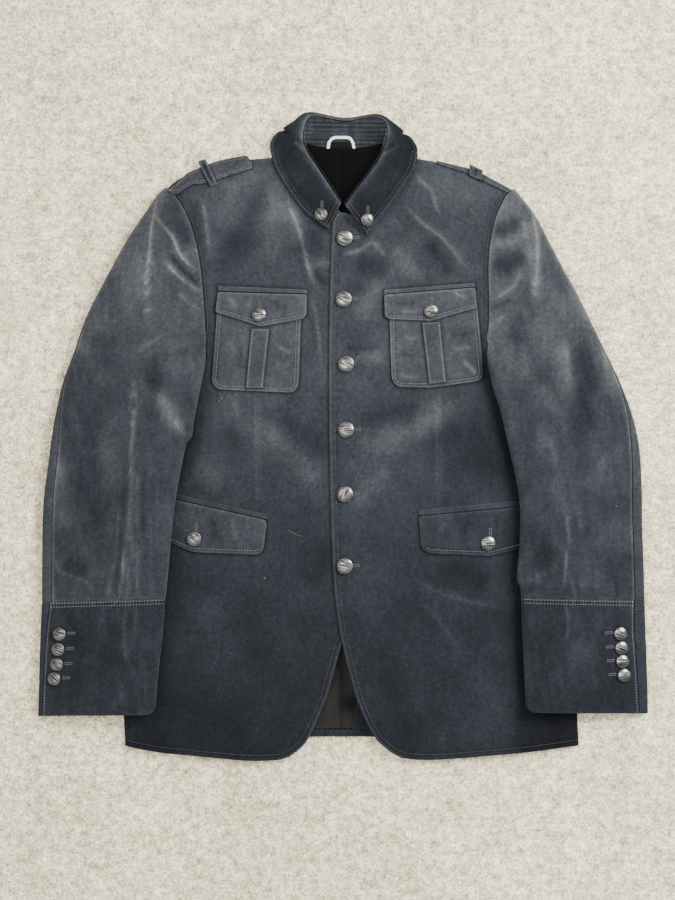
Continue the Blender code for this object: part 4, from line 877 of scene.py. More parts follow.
def plate_points(outline, spacing, thickness, guides):
    """Points inside an outline: rings close to its edge, runs beside each guide, and an even filling."""
    cut_edge = closed(outline)
    sets = []
    for step in EDGE_STEPS:
        distance = step * thickness
        ring = offset_inward(outline, distance)
        x, y = ring.T
        keep = inside(outline, x, y) & (line_distance(x, y, cut_edge)[0] > 0.85 * distance)
        sets.append(ring[keep])
    for guide in guides:
        line = np.asarray(guide, float)
        normal = left_of(np.gradient(line, axis=0))
        for distance in GUIDE_RUNS:
            run = line + normal * distance
            x, y = run.T
            keep = inside(outline, x, y) & (line_distance(x, y, cut_edge)[0] > 1.3 * thickness)
            sets.append(run[keep])
    low = np.min(outline, axis=0)
    high = np.max(outline, axis=0)
    rows = np.arange(low[1], high[1], spacing * 0.866)
    columns = np.arange(low[0], high[0], spacing)
    gx, gy = np.meshgrid(columns, rows)
    gx = gx + (np.arange(len(rows)) % 2)[:, None] * 0.5 * spacing
    x = gx.ravel()
    y = gy.ravel()
    keep = inside(outline, x, y)
    x, y = x[keep], y[keep]
    keep = line_distance(x, y, cut_edge)[0] > EDGE_STEPS[-1] * thickness + 0.55 * spacing
    for guide in guides:
        keep &= line_distance(x, y, guide)[0] > GUIDE_RUNS[-1] + 0.5 * spacing
    sets.append(np.stack([x[keep], y[keep]], axis=1))
    return np.vstack(sets)


def plate(node, outline, top_at, thickness, spacing, look="velvet", guides=(),
          edge_highlight=0.35):
    """Cloth cut to an outline, its upper side at top_at, pressed in along its stitch guides."""
    extra = plate_points(outline, spacing, thickness, guides)
    points = [Vector(p) for p in outline] + [Vector(p) for p in extra.tolist()]
    count = len(outline)
    edges = [(i, (i + 1) % count) for i in range(count)]
    found = delaunay_2d_cdt(points, edges, [], 1, 1e-4)
    flat = np.array([(p.x, p.y) for p in found[0]])
    faces = np.array([f[:3] for f in found[2]], int)
    x, y = flat.T
    a, b, c = flat[faces[:, 0]], flat[faces[:, 1]], flat[faces[:, 2]]
    turn = (b[:, 0] - a[:, 0]) * (c[:, 1] - a[:, 1]) - (b[:, 1] - a[:, 1]) * (c[:, 0] - a[:, 0])
    faces[turn < 0] = faces[turn < 0][:, ::-1]
    edge = line_distance(x, y, closed(outline))[0]
    edge[edge < 0.02] = 0.0
    z, tone = top_at(x, y)
    for guide in guides:
        distance, share = line_distance(x, y, guide)
        run = share * np.linalg.norm(np.diff(np.asarray(guide, float), axis=0), axis=1).sum()
        gather = 0.16 * np.sin(run * 1.5 + 2.0 * wobble(x, y, 9.0, 21.0)) * bell(distance, 3.2)
        z = z - STITCH_DEPTH * bell(distance, 1.3) + gather
        # Painted shade in the stitch groove, and painted light and shade on the gathers
        tone = tone - 0.22 * bell(distance, 1.6) + 1.1 * gather
    return shell(node, np.stack([x, y, z], axis=1), faces, thickness, edge, tone, look,
                 edge_highlight)


def colour(r, g, b):
    """Opaque colour for a node."""
    return (r, g, b, 1.0)


class Looks:
    """Node materials, each made once."""

    def __init__(self, name):
        self.material = bpy.data.materials.new(name)
        self.material.use_nodes = True
        self.tree = self.material.node_tree
        self.shader = self.tree.nodes["Principled BSDF"]
        self.coords = self.tree.nodes.new("ShaderNodeTexCoord")

    def set(self, **values):
        for name, value in values.items():
            self.shader.inputs[name.replace("_", " ")].default_value = value
        return self

    def node(self, kind, **values):
        made = self.tree.nodes.new(kind)
        for name, value in values.items():
            if hasattr(made, name):
                setattr(made, name, value)
            else:
                made.inputs[name.replace("_", " ")].default_value = value
        return made

    def link(self, a, b):
        self.tree.links.new(a, b)

    def noise(self, scale, detail=3.0, rough=0.55, stretch=None):
        made = self.node("ShaderNodeTexNoise", Scale=scale, Detail=detail, Roughness=rough)
        source = self.coords.outputs["Object"]
        if stretch:
            mapping = self.node("ShaderNodeMapping", Scale=stretch)
            self.link(source, mapping.inputs["Vector"])
            source = mapping.outputs["Vector"]
        self.link(source, made.inputs["Vector"])
        return made.outputs["Fac"]

    def spread(self, source, low, high, from_low=0.3, from_high=0.7):
        made = self.node("ShaderNodeMapRange")
        made.inputs["From Min"].default_value = from_low
        made.inputs["From Max"].default_value = from_high
        made.inputs["To Min"].default_value = low
        made.inputs["To Max"].default_value = high
        self.link(source, made.inputs["Value"])
        return made.outputs["Result"]

    def times(self, *sources):
        result = sources[0]
        for source in sources[1:]:
            made = self.node("ShaderNodeMath", operation="MULTIPLY")
            self.link(result, made.inputs[0])
            self.link(source, made.inputs[1])
            result = made.outputs[0]
        return result

    def mix(self, factor, first, second):
        made = self.node("ShaderNodeMix", data_type="RGBA")
        made.inputs[6].default_value = first
        made.inputs[7].default_value = second
        self.link(factor, made.inputs["Factor"])
        return made.outputs[2]

    def scaled(self, tint, factor):
        made = self.node("ShaderNodeVectorMath", operation="SCALE")
        if isinstance(tint, tuple):
            made.inputs[0].default_value = tint[:3]
        else:
            self.link(tint, made.inputs[0])
        self.link(factor, made.inputs["Scale"])
        return made.outputs[0]

    def attribute(self, name):
        return self.node("ShaderNodeAttribute", attribute_name=name).outputs["Fac"]

    def bump(self, *layers):
        """Layers of (height source, strength, distance)."""
        normal = None
        for source, strength, distance in layers:
            made = self.node("ShaderNodeBump", Strength=strength, Distance=distance)
            self.link(source, made.inputs["Height"])
            if normal:
                self.link(normal, made.inputs["Normal"])
            normal = made.outputs["Normal"]
        self.link(normal, self.shader.inputs["Normal"])
        return self


def velvet_look():
    look = Looks("velvet")
    look.set(Roughness=0.92, Sheen_Weight=0.18, Sheen_Roughness=0.36,
             Sheen_Tint=colour(0.93, 0.95, 1.0), Specular_IOR_Level=0.1)
    grain = look.noise(720.0, 4.0, 0.65)
    brushed = look.noise(95.0, 4.0, 0.65, (1.7, 0.6, 1.0))
    pile = look.noise(210.0, 3.0, 0.6)
    patch = look.noise(34.0, 4.0, 0.6)
    broad = look.noise(9.0, 3.0, 0.5)
    fleck = look.noise(430.0, 2.0, 0.5)
    nap = look.attribute("nap")
    shade = look.times(nap, look.spread(grain, 0.8, 1.22), look.spread(pile, 0.8, 1.24),
                       look.spread(patch, 0.88, 1.13), look.spread(broad, 0.94, 1.07),
                       look.spread(brushed, 0.88, 1.14),
                       look.spread(fleck, 1.0, 1.5, 0.6, 0.74))
    # Darker places turn blue and lighter ones neutral, painting the colours of shade and light
    tint = look.mix(look.spread(nap, 0.0, 1.0, 0.5, 1.7), colour(0.0284, 0.0330, 0.0432),
                    colour(0.0343, 0.0363, 0.0397))
    look.link(look.scaled(tint, shade), look.shader.inputs["Base Color"])
    look.bump((patch, 0.12, 0.003), (pile, 0.22, 0.0008), (grain, 0.25, 0.0004))
    return look.material


def woven_look(name, tint, weave, contrast, depth, **settings):
    """One tint, made uneven by one fine noise that also dents it."""
    look = Looks(name)
    look.set(**settings)
    grain = look.noise(*weave)
    look.link(look.scaled(colour(*tint), look.spread(grain, *contrast)), look.shader.inputs["Base Color"])
    look.bump((grain, depth, 0.0002))
    return look.material


def thread_look(name, tint):
    return woven_look(name, tint, (2600.0, 2.0), (0.7, 1.25), 0.3, Roughness=0.7, Sheen_Weight=0.15)


def tape_look(name, tint):
    return woven_look(name, tint, (1500.0, 2.0, 0.5, (1.0, 0.3, 1.0)), (0.8, 1.1), 0.4,
                      Roughness=0.9, Specular_IOR_Level=0.1)


def satin_look():
    look = Looks("satin")
    look.set(Roughness=0.5, Specular_IOR_Level=0.03)
    ripple = look.noise(38.0, 3.0, 0.5, (1.0, 0.35, 1.0))
    weave = look.noise(1900.0, 2.0, 0.5, (1.0, 0.15, 1.0))
    shade = look.times(look.attribute("nap"), look.spread(weave, 0.75, 1.3), look.spread(ripple, 0.8, 1.3))
    look.link(look.scaled(colour(0.0036, 0.0034, 0.0034), shade), look.shader.inputs["Base Color"])
    look.bump((ripple, 0.35, 0.003), (weave, 0.12, 0.0001))
    return look.material


def metal_look():
    look = Looks("metal")
    look.set(Metallic=1.0)
    tarnish = look.noise(420.0, 4.0, 0.6, (1.0, 0.25, 1.0))
    dark = look.attribute("groove")
    tone = look.mix(look.spread(tarnish, 0.0, 1.0, 0.42, 0.72), colour(0.215, 0.215, 0.21),
                    colour(0.05, 0.05, 0.049))
    stained = look.node("ShaderNodeMix", data_type="RGBA")
    look.link(tone, stained.inputs[6])
    stained.inputs[7].default_value = colour(0.015, 0.015, 0.016)
    look.link(dark, stained.inputs["Factor"])
    look.link(stained.outputs[2], look.shader.inputs["Base Color"])
    look.link(look.spread(dark, 0.28, 0.65, 0.0, 1.0), look.shader.inputs["Roughness"])
    look.bump((tarnish, 0.2, 0.0002))
    return look.material


def floor_look():
    look = Looks("floor")
    look.set(Roughness=0.75, Specular_IOR_Level=0.25)
    cloud = look.noise(5.0, 4.0, 0.6)
    mottle = look.noise(34.0, 4.0, 0.65)
    stain = look.noise(105.0, 4.0, 0.7)
    speck = look.noise(330.0, 3.0, 0.7)
    tint = look.mix(look.spread(mottle, 0.0, 1.0, 0.38, 0.62), colour(0.93, 0.815, 0.55),
                    colour(0.97, 0.895, 0.63))
    shade = look.times(look.spread(cloud, 0.8, 1.08), look.spread(mottle, 0.82, 1.1),
                       look.spread(stain, 0.46, 1.42), look.spread(speck, 0.4, 1.52))
    look.link(look.scaled(tint, shade), look.shader.inputs["Base Color"])
    look.bump((speck, 0.2, 0.0006))
    return look.material


looks = {
    "velvet": velvet_look(),
    "thread": thread_look("pale_thread", (0.19, 0.195, 0.205)),
    "dark_thread": thread_look("dark_thread", (0.066, 0.069, 0.076)),
    "lint": thread_look("lint", (0.11, 0.11, 0.108)),
    "lining": satin_look(),
    "label": tape_look("label_tape", (0.007, 0.007, 0.007)),
    "loop": tape_look("white_tape", (0.84, 0.84, 0.82)),
    "button": metal_look(),
}


def cap_rows(side):
    """The sleeve cap's rows, each gap between two halved."""
    result = []
    for four in in_fours(CAP[side]):
        result += [four[1], row_between(four, 0.5)]
    return result + [CAP[side][-1]]


def front_outline(side):
    """Side, hidden underarm, armhole, shoulder, neck, opening edge and hem of a front."""
    side_run = [(x, y) for y, x in SIDE[side]]
    start = RINGS[side][0]["in"]
    armhole = [(start[0], start[1] - SEAM)] + [tuple(r["front"]) for r in cap_rows(side)]
    armhole.append(SHOULDER[side][0])
    edges = FRONT_EDGES[side]
    return join_runs([
        curve_through(side_run, 3.4), straight_through([side_run[-1], armhole[0]], 3.4),
        curve_through(armhole, EDGE_SPACING), curve_through(SHOULDER[side], EDGE_SPACING),
        curve_through(edges["neck"], EDGE_SPACING), curve_through(edges["opening"], 3.0),
        curve_through(edges["hem"], 3.0)])


def inset_run(side, names, distance, trim=0):
    """A stitch guide: named edge runs of a front moved inward."""
    line = np.array(join_runs([curve_through(FRONT_EDGES[side][name], 3.0) for name in names]))
    return (line + SIDES[side] * distance * left_of(np.gradient(line, axis=0)))[trim:]


def edge_shade(x, y, outlines, depth):
    """Painted shade along the edges of the pieces sewn on top: how much darker each point is."""
    shade = np.zeros(np.shape(x))
    for outline in outlines:
        near = line_distance(x, y, closed(outline))[0]
        shade = np.maximum(shade, bell(near, EDGE_SHADE_HALF))
    return depth * shade


def build_fronts():
    """Both fronts, with darts and edge stitching. Returns the stitch guides."""
    guides = {side: [inset_run(side, ("opening", "hem"), EDGE_STITCH, HIDDEN_START[side])] for side in SIDES}
    for side in SIDES:
        armhole = [tuple(row["front"]) for row in cap_rows(side)]
        leaf = [row["rim"] for row in (COLLAR[:5] if side == "right" else COLLAR[-5:])]
        on_top = (CHEST_POCKET, CHEST_FLAP, CHEST_WELT, HIP_FLAP, EPAULETTE)
        sewn_on = [table[side] for table in on_top]

        def top_at(x, y):
            rise, tone = front_relief(side, x, y)
            # Painted shade beside what is sewn on, under the collar leaf and along the armhole
            tone = tone - edge_shade(x, y, sewn_on, SEWN_SHADE)
            tone = tone - LEAF_SHADE[0] * bell(line_distance(x, y, leaf)[0], LEAF_SHADE[1])
            seam = line_distance(x, y, armhole)[0]
            for depth, half in ARMHOLE_SHADES:
                tone = tone - depth * bell(seam, half)
            distance, share = line_distance(x, y, DARTS[side])
            ends = ease(share / 0.1) * ease((1.0 - share) / 0.1)
            rise = rise - DART_GROOVE[0] * ends * bell(distance, DART_GROOVE[1])
            # Painted highlight on both sides of the dart's groove
            tone = tone + DART_HIGHLIGHT[0] * ends * bell(distance - DART_HIGHLIGHT[1], DART_HIGHLIGHT[2])
            return front_top(side, x, y) + rise, tone

        plate("front_" + side, front_outline(side), top_at, CLOTH, SPACING_FRONT, guides=guides[side],
              edge_highlight=0.8)
    return guides


def back_relief(x, y):
    """Height of the back's creases, flat near its edges, their painted highlight and shade, and the whole
    back a little darker.
    """
    rise, tone = creases_at(BACK_CREASES, x, y)
    inset = ease((235.0 - np.abs(x)) / 50.0) * ease((y + 340.0) / 40.0) * ease((280.0 - y) / 50.0)
    return rise * inset, tone - 0.5


def flat_at(height, tone_shift=0.0):
    """Upper side of a piece that lies level at a height, over the back's creases."""
    def top_at(x, y):
        rise, tone = back_relief(x, y)
        return height + rise, tone + tone_shift
    return top_at


def build_back():
    """Back panels, lining and the two facings."""
    for side, sign in SIDES.items():
        side_run = [(x, y) for y, x in SIDE[side]]
        side_run[0] = (side_run[0][0] - sign * 1.5, BACK_HEM_Y - 6.0)
        centre = CENTRE_SEAM_X + sign * SEAM / 2
        back = [(along(SIDE[side], UNDERARM_Y), UNDERARM_Y)]
        back += [tuple(r["back"]) for r in cap_rows(side)] + [SHOULDER[side][0]]
        shoulder = SHOULDER[side]
        outline = join_runs([
            curve_through(side_run, BACK_SPACING), curve_through(back, BACK_SPACING),
            curve_through(shoulder, BACK_SPACING),
            straight_through([shoulder[-1], (sign * 50, 341.6), (sign * 30, 341), (centre, 340.4),
                              (centre, BACK_HEM_Y)], BACK_SPACING),
            curve_through([(centre, BACK_HEM_Y), (sign * 75, -362.4), (sign * 180, -364.8),
                           side_run[0]], BACK_SPACING)])
        plate("back_" + side, outline, flat_at(PANEL_BACK), PANEL_BACK, 7.0)
    lining_z = PANEL_BACK + REST
    outline = join_runs([
        straight_through([(-222, FACING_TOP_Y), (222, FACING_TOP_Y), (212, 40), (160, 90), (150, 250),
                          (120, 286), (70, 300), (53, 330), (51, 354)], BACK_SPACING),
        curve_through([(51, 354), (28, 350.6), (0, 347.6), (-28, 350.6), (-50, 354)], BACK_SPACING),
        straight_through([(-50, 354), (-52, 330), (-70, 300), (-120, 286), (-150, 250), (-160, 90),
                          (-212, 40)], BACK_SPACING)])

    def lining_at(x, y):
        z, tone = flat_at(lining_z + LINING)(x, y)
        centre = bell(x - CENTRE_SEAM_X, 2.4)
        ripple = np.maximum(wobble(x * 1.6, y * 0.5, 26.0, 5.0), 0.0)
        shadow_spot = np.exp(-((x - 10.0) / 12.0) ** 2 - ((y + 322.0) / 9.0) ** 2)
        # Tone: darker along the centre seam, a painted reflection lighter towards the bottom, and a painted
        # shadow low down
        tone = tone - 0.5 * centre + 2.2 * ease((-100.0 - y) / 60.0) - 1.2 * shadow_spot
        return z - 0.35 * centre + 0.9 * ripple * ease((y + 350.0) / 20.0), tone

    plate("back_lining", outline, lining_at, LINING, 3.2, "lining")
    facing = [(-100, FACING_TOP_Y - SEAM), (-100, BACK_HEM_Y), (104, BACK_HEM_Y),
              (104, FACING_TOP_Y - SEAM)]
    plate("back_hem_facing", rounded(facing, 0.8, 3), flat_at(lining_z + HEM_FACING, -0.3), HEM_FACING,
          2.5)
    vent = [(12.4, FACING_TOP_Y + 0.6), (62, FACING_TOP_Y + 0.6), (62, -250), (26, -250),
            (17.4, -318)]
    vent_z = lining_z + LINING + REST + THIN_TRIM
    plate("vent_facing", rounded(vent, 0.8, 3), flat_at(vent_z, -0.3), THIN_TRIM, 3.0)


def ring_shape(t):
    """Height share of a flattened tube across its width."""
    return (1.0 - np.abs(2.0 * t - 1.0) ** 3) ** (1.0 / 3.0)


def share_at(theta):
    """Share of the width at an angle round a flattened tube."""
    c = np.cos(theta)
    return 0.5 - 0.5 * np.sign(c) * np.abs(c) ** (2.0 / 3.0)


def angle_of(t):
    """Angle round a flattened tube at a share of its width, from the inner edge."""
    c = 1.0 - 2.0 * (1.0 - t)
    return math.acos(math.copysign(abs(c) ** 1.5, c))


def top_points(side, row, t):
    """Outer surface of a sleeve's upper side; t is 0 at the outer edge, 1 at the inner."""
    is_ring = "in" in row
    out = np.asarray(row["out"], float)
    inner = np.asarray(row["in"] if is_ring else toward(tuple(row["front"]), tuple(row["out"]), SEAM))
    xy = out + (inner - out) * t[:, None]
    loft = float(row["loft"])
    shape = ring_shape(t)
    if is_ring:
        seat = sleeve_under(inner[:1], inner[1:])[0]
        z = seat * ease(t) + loft / 2 * (1 + shape)
    else:
        seam_z = front_top(side, np.array([row["front"][0]]), np.array([row["front"][1]]))[0]
        z = np.where(t < 0.5, loft / 2 * (1 + shape), loft + (seam_z - loft) * ease(2 * t - 1))
    z = z + fold_height(SLEEVE_FOLDS[side], *xy.T) * np.minimum(1.0, shape * 1.02) ** 4
    return np.column_stack([xy, z])


def under_points(row, t):
    """Outer surface of a sleeve's lower side, flat where it meets the floor."""
    is_ring = "in" in row
    out = np.asarray(row["out"], float)
    if is_ring:
        xy = out + (np.asarray(row["in"]) - out) * t[:, None]
    else:
        back = np.asarray(toward(tuple(row["back"]), tuple(row["out"]), SEAM))
        xy = out + (back - out) * (t / UNDERARM_SHARE)[:, None]
    shape = np.minimum(1.0, ring_shape(t) * 1.08)
    return np.column_stack([xy, sleeve_under(*xy.T) + float(row["loft"]) / 2 * (1.0 - shape)])


def top_strip(side, row, columns):
    """Top sleeve across one row, from the inner edge to the elbow seam."""
    is_ring = "in" in row
    width = math.dist(row["out"], row["in"] if is_ring else row["front"])
    stop = (float(row["seam"]) + SEAM / 2) / width
    angles = np.linspace(0.0, 1.0, columns) * angle_of(stop)
    points = top_points(side, row, 1.0 - share_at(angles))
    if is_ring:
        points[0, 2] += SEAM / 2
    return points


def under_strip(side, row, columns):
    """Under sleeve: elbow seam, outer edge and floor, then the inner edge of a closed row."""
    is_ring = "in" in row
    width = math.dist(row["out"], row["in"] if is_ring else row["front"])
    start = max(0.001, (float(row["seam"]) - SEAM / 2) / width)
    first = top_points(side, row, start * (1.0 - np.linspace(0, 1, 12)[:-1]) ** 1.5)
    angles = np.linspace(0.0, math.pi / 2, columns)
    floor = under_points(row, UNDERARM_SHARE * 2 * share_at(angles))
    result = np.vstack([first, floor])
    if not is_ring:
        return result, None
    angles = np.linspace(math.pi / 2, 0.0, columns // 2)
    inner = under_points(row, 1.0 - (1.0 - UNDERARM_SHARE) * 2 * share_at(angles))
    inner[-1, 2] -= SEAM / 2
    return result, inner


def refine_stations(rows, parts):
    """Smooth rows of points between the model's rows."""
    rows = np.asarray(rows)
    result = [catmull(*four, k / parts) for four in in_fours(rows) for k in range(parts)]
    return np.array(result + [rows[-1]])


def count_up(shape, start=0):
    """Point numbers of a grid, row by row."""
    return start + np.arange(shape[0] * shape[1]).reshape(shape[:2])


def grid_faces(index, flip):
    """Two triangles in every gap of a grid of point numbers."""
    a, b, c, d = index[:-1, :-1], index[:-1, 1:], index[1:, 1:], index[1:, :-1]
    halves = [np.stack(corners, -1).reshape(-1, 3) for corners in ((a, b, c), (a, c, d))]
    faces = np.concatenate(halves)
    return faces[:, ::-1] if flip else faces


def lengths_from_start(grid, axis):
    """Length along the cloth from a grid's first row or column."""
    steps = np.linalg.norm(np.diff(grid, axis=axis), axis=2)
    pad = [(1, 0), (0, 0)] if axis == 0 else [(0, 0), (1, 0)]
    return np.pad(np.cumsum(steps, axis=axis), pad)


def edge_steps(grid, thickness):
    """Adds short steps along all four edges of a grid, so that a round edge has points."""
    for axis in (0, 1):
        total = lengths_from_start(grid, axis).max()
        grid = np.moveaxis(grid, axis, 0)
        shares = [min(0.9, step * thickness / total * (len(grid) - 1)) for step in EDGE_STEPS]
        first = [grid[0] + (grid[1] - grid[0]) * share for share in shares]
        last = [grid[-1] + (grid[-2] - grid[-1]) * share for share in shares]
        grid = np.concatenate([grid[:1], first, grid[1:-1], last[::-1], grid[-1:]])
        grid = np.moveaxis(grid, 0, axis)
    return grid


def grid_edge(grid):
    """Distance of each grid point to the nearest of the four edges, along the cloth."""
    result = None
    for axis in (0, 1):
        run = lengths_from_start(grid, axis)
        end = np.take(run, [-1], axis=axis) - run
        nearest = np.minimum(run, end)
        result = nearest if result is None else np.minimum(result, nearest)
    return result


def smooth_stations(rows, spacing):
    """Parts between stations so that rows come about every spacing."""
    middle = np.asarray(rows)[:, len(rows[0]) // 2]
    mean = np.linalg.norm(np.diff(middle, axis=0), axis=1).mean()
    return max(1, round(mean / spacing))


def round_corner(side, points):
    """Rounds the inner lower corner of a cuff."""
    last = CUFF_RINGS[side][-1]
    corner_x, corner_y = (abs(last["in"][0]), last["in"][1])
    inward = np.clip(CORNER_RADIUS - (np.abs(points[..., 0]) - corner_x), 0.0, CORNER_RADIUS)
    lift = CORNER_RADIUS - np.sqrt(CORNER_RADIUS ** 2 - inward ** 2)
    near = np.clip(1.0 - (points[..., 1] - corner_y) / (2.5 * CORNER_RADIUS), 0.0, 1.0)
    points[..., 1] += 0.8 * lift * near
    return points


def tucked(side, points):
    """Pushes the inner edge of a sleeve out over the body, to end in a small nick under a fold."""
    nick_y, reach = EDGE_NICK[side]
    x, y = points[..., 0], points[..., 1]
    outward = SIDES[side] * x
    inner = outward - outward.min(axis=1, keepdims=True)
    swell = ease((y - nick_y) / 5.0) * bell(y - nick_y, 26.0)
    points[..., 0] -= SIDES[side] * reach * swell * bell(inner, 14.0)
    return points


def sleeve_grid(side, rows, creases, nap_name, flip):
    """Top sleeve or top cuff from strips of the model's surface, with its creases."""
    strips = [top_strip(side, row, TOP_COLUMNS) for row in rows]
    grid = refine_stations(strips, smooth_stations(strips, TOP_SPACING))
    grid = edge_steps(grid, SLEEVE_CLOTH)
    if rows is CUFF_RINGS[side]:
        grid = round_corner(side, grid)
    else:
        grid = tucked(side, grid)
    x, y, z = grid[..., 0], grid[..., 1], grid[..., 2]
    edge = grid_edge(grid)
    across = lengths_from_start(grid, 1)
    rim = np.minimum(across, across[:, -1:] - across)
    rise, tone = creases_at(creases, x, y)
    uneven = 0.4 * wobble(x, y, 44.0, 14.1) + 0.16 * wobble(x, y, 17.0, 9.2)
    z = z + (rise + uneven) * ease(rim / 14.0)
    tone = tone + along(BRIGHTNESS_DOWN[nap_name], y) + 0.12 * wobble(x, y, 34.0, 2.2)
    tone = tone + 0.13 * wobble(2.6 * x + 0.5 * y, 0.55 * y, 26.0, 3.1)
    tone = tone + 0.08 * wobble(5.0 * x, 0.9 * y, 22.0, 6.4)
    if rows is CUFF_RINGS[side]:
        below = grid[:1, :, 1] - y
        wave = np.sin(x * 1.45 + 1.6 * wobble(x, 0.2 * y, 14.0, 5.5))
        z = z + 0.2 * wave * bell(below - 3.6, 2.6)
        # Painted light and shade on the puckers below the cuff seam, and a painted highlight along the seam
        tone = tone + 0.55 * wave * bell(below - 4.2, 2.8)
        tone = tone + 0.35 * bell(below, 1.6)
    # Painted highlights along the inner edge below the underarm, and along the elbow seam
    tone = tone + 0.5 * bell(across, 2.2) * ease((70.0 - y) / 20.0)
    tone = tone + 0.4 * bell(rim, 3.0) * ease(across / 8.0)
    points = np.stack([x, y, z], axis=-1).reshape(-1, 3)
    return points, grid_faces(count_up(grid.shape), flip), edge.ravel(), tone.ravel()


def build_sleeves():
    """Top and under half of each sleeve and cuff."""
    for side in SIDES:
        flip = side == "left"
        caps = list(reversed(cap_rows(side)))
        parts = [("sleeve", caps + RINGS[side], SLEEVE_CREASES), ("cuff", CUFF_RINGS[side], CUFF_CREASES)]
        for kind, rows, creases in parts:
            nap_name = kind + "_" + side
            node = "%s_top_%s" % (kind, side)
            points, faces, edge, tone = sleeve_grid(side, rows, creases[side], nap_name, flip)
            shell(node, points, faces, SLEEVE_CLOTH, edge, tone,
                  edge_highlight=0.5)
            build_under("%s_under_%s" % (kind, side), side, rows, nap_name, flip)


def build_under(node, side, rows, nap_name, flip):
    """Under sleeve: a grid over all its rows, and a second one up the inner edge of the closed rows."""
    strips = [under_strip(side, row, UNDER_COLUMNS) for row in rows]
    outer = [s[0] for s in strips]
    parts = smooth_stations(outer, UNDER_SPACING)
    first = refine_stations(outer, parts)
    open_rows = sum(1 for s in strips if s[1] is None)
    inner = refine_stations([s[1] for s in strips if s[1] is not None], parts)
    inner[:, 0] = first[open_rows * parts:, -1]
    first = edge_steps(first, SLEEVE_CLOTH)
    index = count_up(first.shape)
    start = len(first) - len(EDGE_STEPS) - len(inner)
    joined = index[start:, -1]
    nearest = np.clip(np.arange(len(joined)), 0, len(inner) - 1)
    blend = first[start:, -1] - inner[nearest, 0]
    flap = inner[nearest, 1:] + blend[:, None, :]
    flap_index = np.column_stack([joined, count_up(flap.shape, index.size)])
    faces = np.vstack([grid_faces(index, flip), grid_faces(flap_index, flip)])
    points = np.vstack([first.reshape(-1, 3), flap.reshape(-1, 3)])
    edge = boundary_distance(points, faces)
    # Painted lighter by 0.3, offsetting the shade where this strip faces sideways
    tone = along(BRIGHTNESS_DOWN[nap_name], points[:, 1]) + 0.3
    if rows is CUFF_RINGS[side]:
        points = round_corner(side, points)
    lift = 0.35 * np.maximum(wobble(points[:, 0], points[:, 1], 30.0, 6.0), 0.0)
    points[:, 2] += lift * (edge > 12.0)
    shell(node, points, faces, SLEEVE_CLOTH, edge, tone)


def boundary_distance(points, faces):
    """Distance of each point to the mesh's open edges, up to a few millimetres."""
    pairs = np.sort(np.concatenate([faces[:, [0, 1]], faces[:, [1, 2]], faces[:, [2, 0]]]), axis=1)
    unique, counts = np.unique(pairs, axis=0, return_counts=True)
    rim = np.unique(unique[counts == 1])
    result = np.full(len(points), 99.0)
    result[rim] = 0.0
    for _ in range(8):
        lengths = np.linalg.norm(points[unique[:, 0]] - points[unique[:, 1]], axis=1)
        np.minimum.at(result, unique[:, 0], result[unique[:, 1]] + lengths)
        np.minimum.at(result, unique[:, 1], result[unique[:, 0]] + lengths)
    return result


def collar_rows():
    """The collar's sections, with others worked out between them."""
    rows = [row_between(four, k / COLLAR_STEPS) for four in in_fours(COLLAR) for k in range(COLLAR_STEPS)]
    return rows + [{key: np.asarray(value, float) for key, value in COLLAR[-1].items()}]


def leaf_rest(x, y):
    """Lowest outer height that a collar leaf may have over the fronts."""
    x = np.asarray(x, float)
    y = np.asarray(y, float)
    under = np.where(x > 0, front_top("left", x, y), front_top("right", x, y))
    under = under + np.where(x < 0, OVERLAP_LIFT * (1.0 - ease((-x - 18.0) / 34.0)), 0.0)
    return under + OVERLAY + FALL_CLOTH


def fall_section(row, columns):
    """Outer surface of the fall across one row, from the roll to its free edge."""
    roll, rim, free = (np.asarray(row[k], float) for k in ("roll", "rim", "edge"))
    folds = float(np.clip(row["folds"], 0.0, 1.0))
    reach = np.linalg.norm(rim - roll)
    top = float(row["top"])
    rim_z = float(leaf_rest(*rim))
    start_z = top - ROLL_DEPTH * (1.0 - folds) - 0.2
    u = np.linspace(0.0, 1.0, columns)
    share = u * u
    xy = roll + (rim - roll) * share[:, None]
    bend = 1.0 - np.exp(-share * reach / 1.6)
    crest = start_z + (top - start_z) * bend
    z = crest + (rim_z - crest) * ease((share - 0.04) / 0.96)
    z = np.where(u > 0.3, np.maximum(z, leaf_rest(*xy.T)), z)
    flat = np.column_stack([xy, z])
    radius = top / 2
    over = min(reach, radius * 1.4)
    folded = []
    for v in u:
        if v < 0.25:
            point = roll + (rim - roll) * (v / 0.25 * (1 - over / reach))
            height = top
        elif v < 0.75:
            angle = math.pi * (v - 0.25) / 0.5
            point = roll + (rim - roll) * (1 - over / reach * (1 - math.sin(angle)))
            height = radius + radius * math.cos(angle)
        else:
            start = roll + (rim - roll) * (1 - over / reach)
            point = start + (free - start) * ((v - 0.75) / 0.25)
            height = 0.0
        folded.append((*point, height))
    result = flat + (np.array(folded) - flat) * float(ease(folds))
    outward = (rim - roll) / reach
    span = ((result[:, :2] - roll) @ outward).max()
    result[:, :2] += (((result[:, :2] - roll) @ outward) * (reach / span - 1.0))[:, None] * outward
    return result


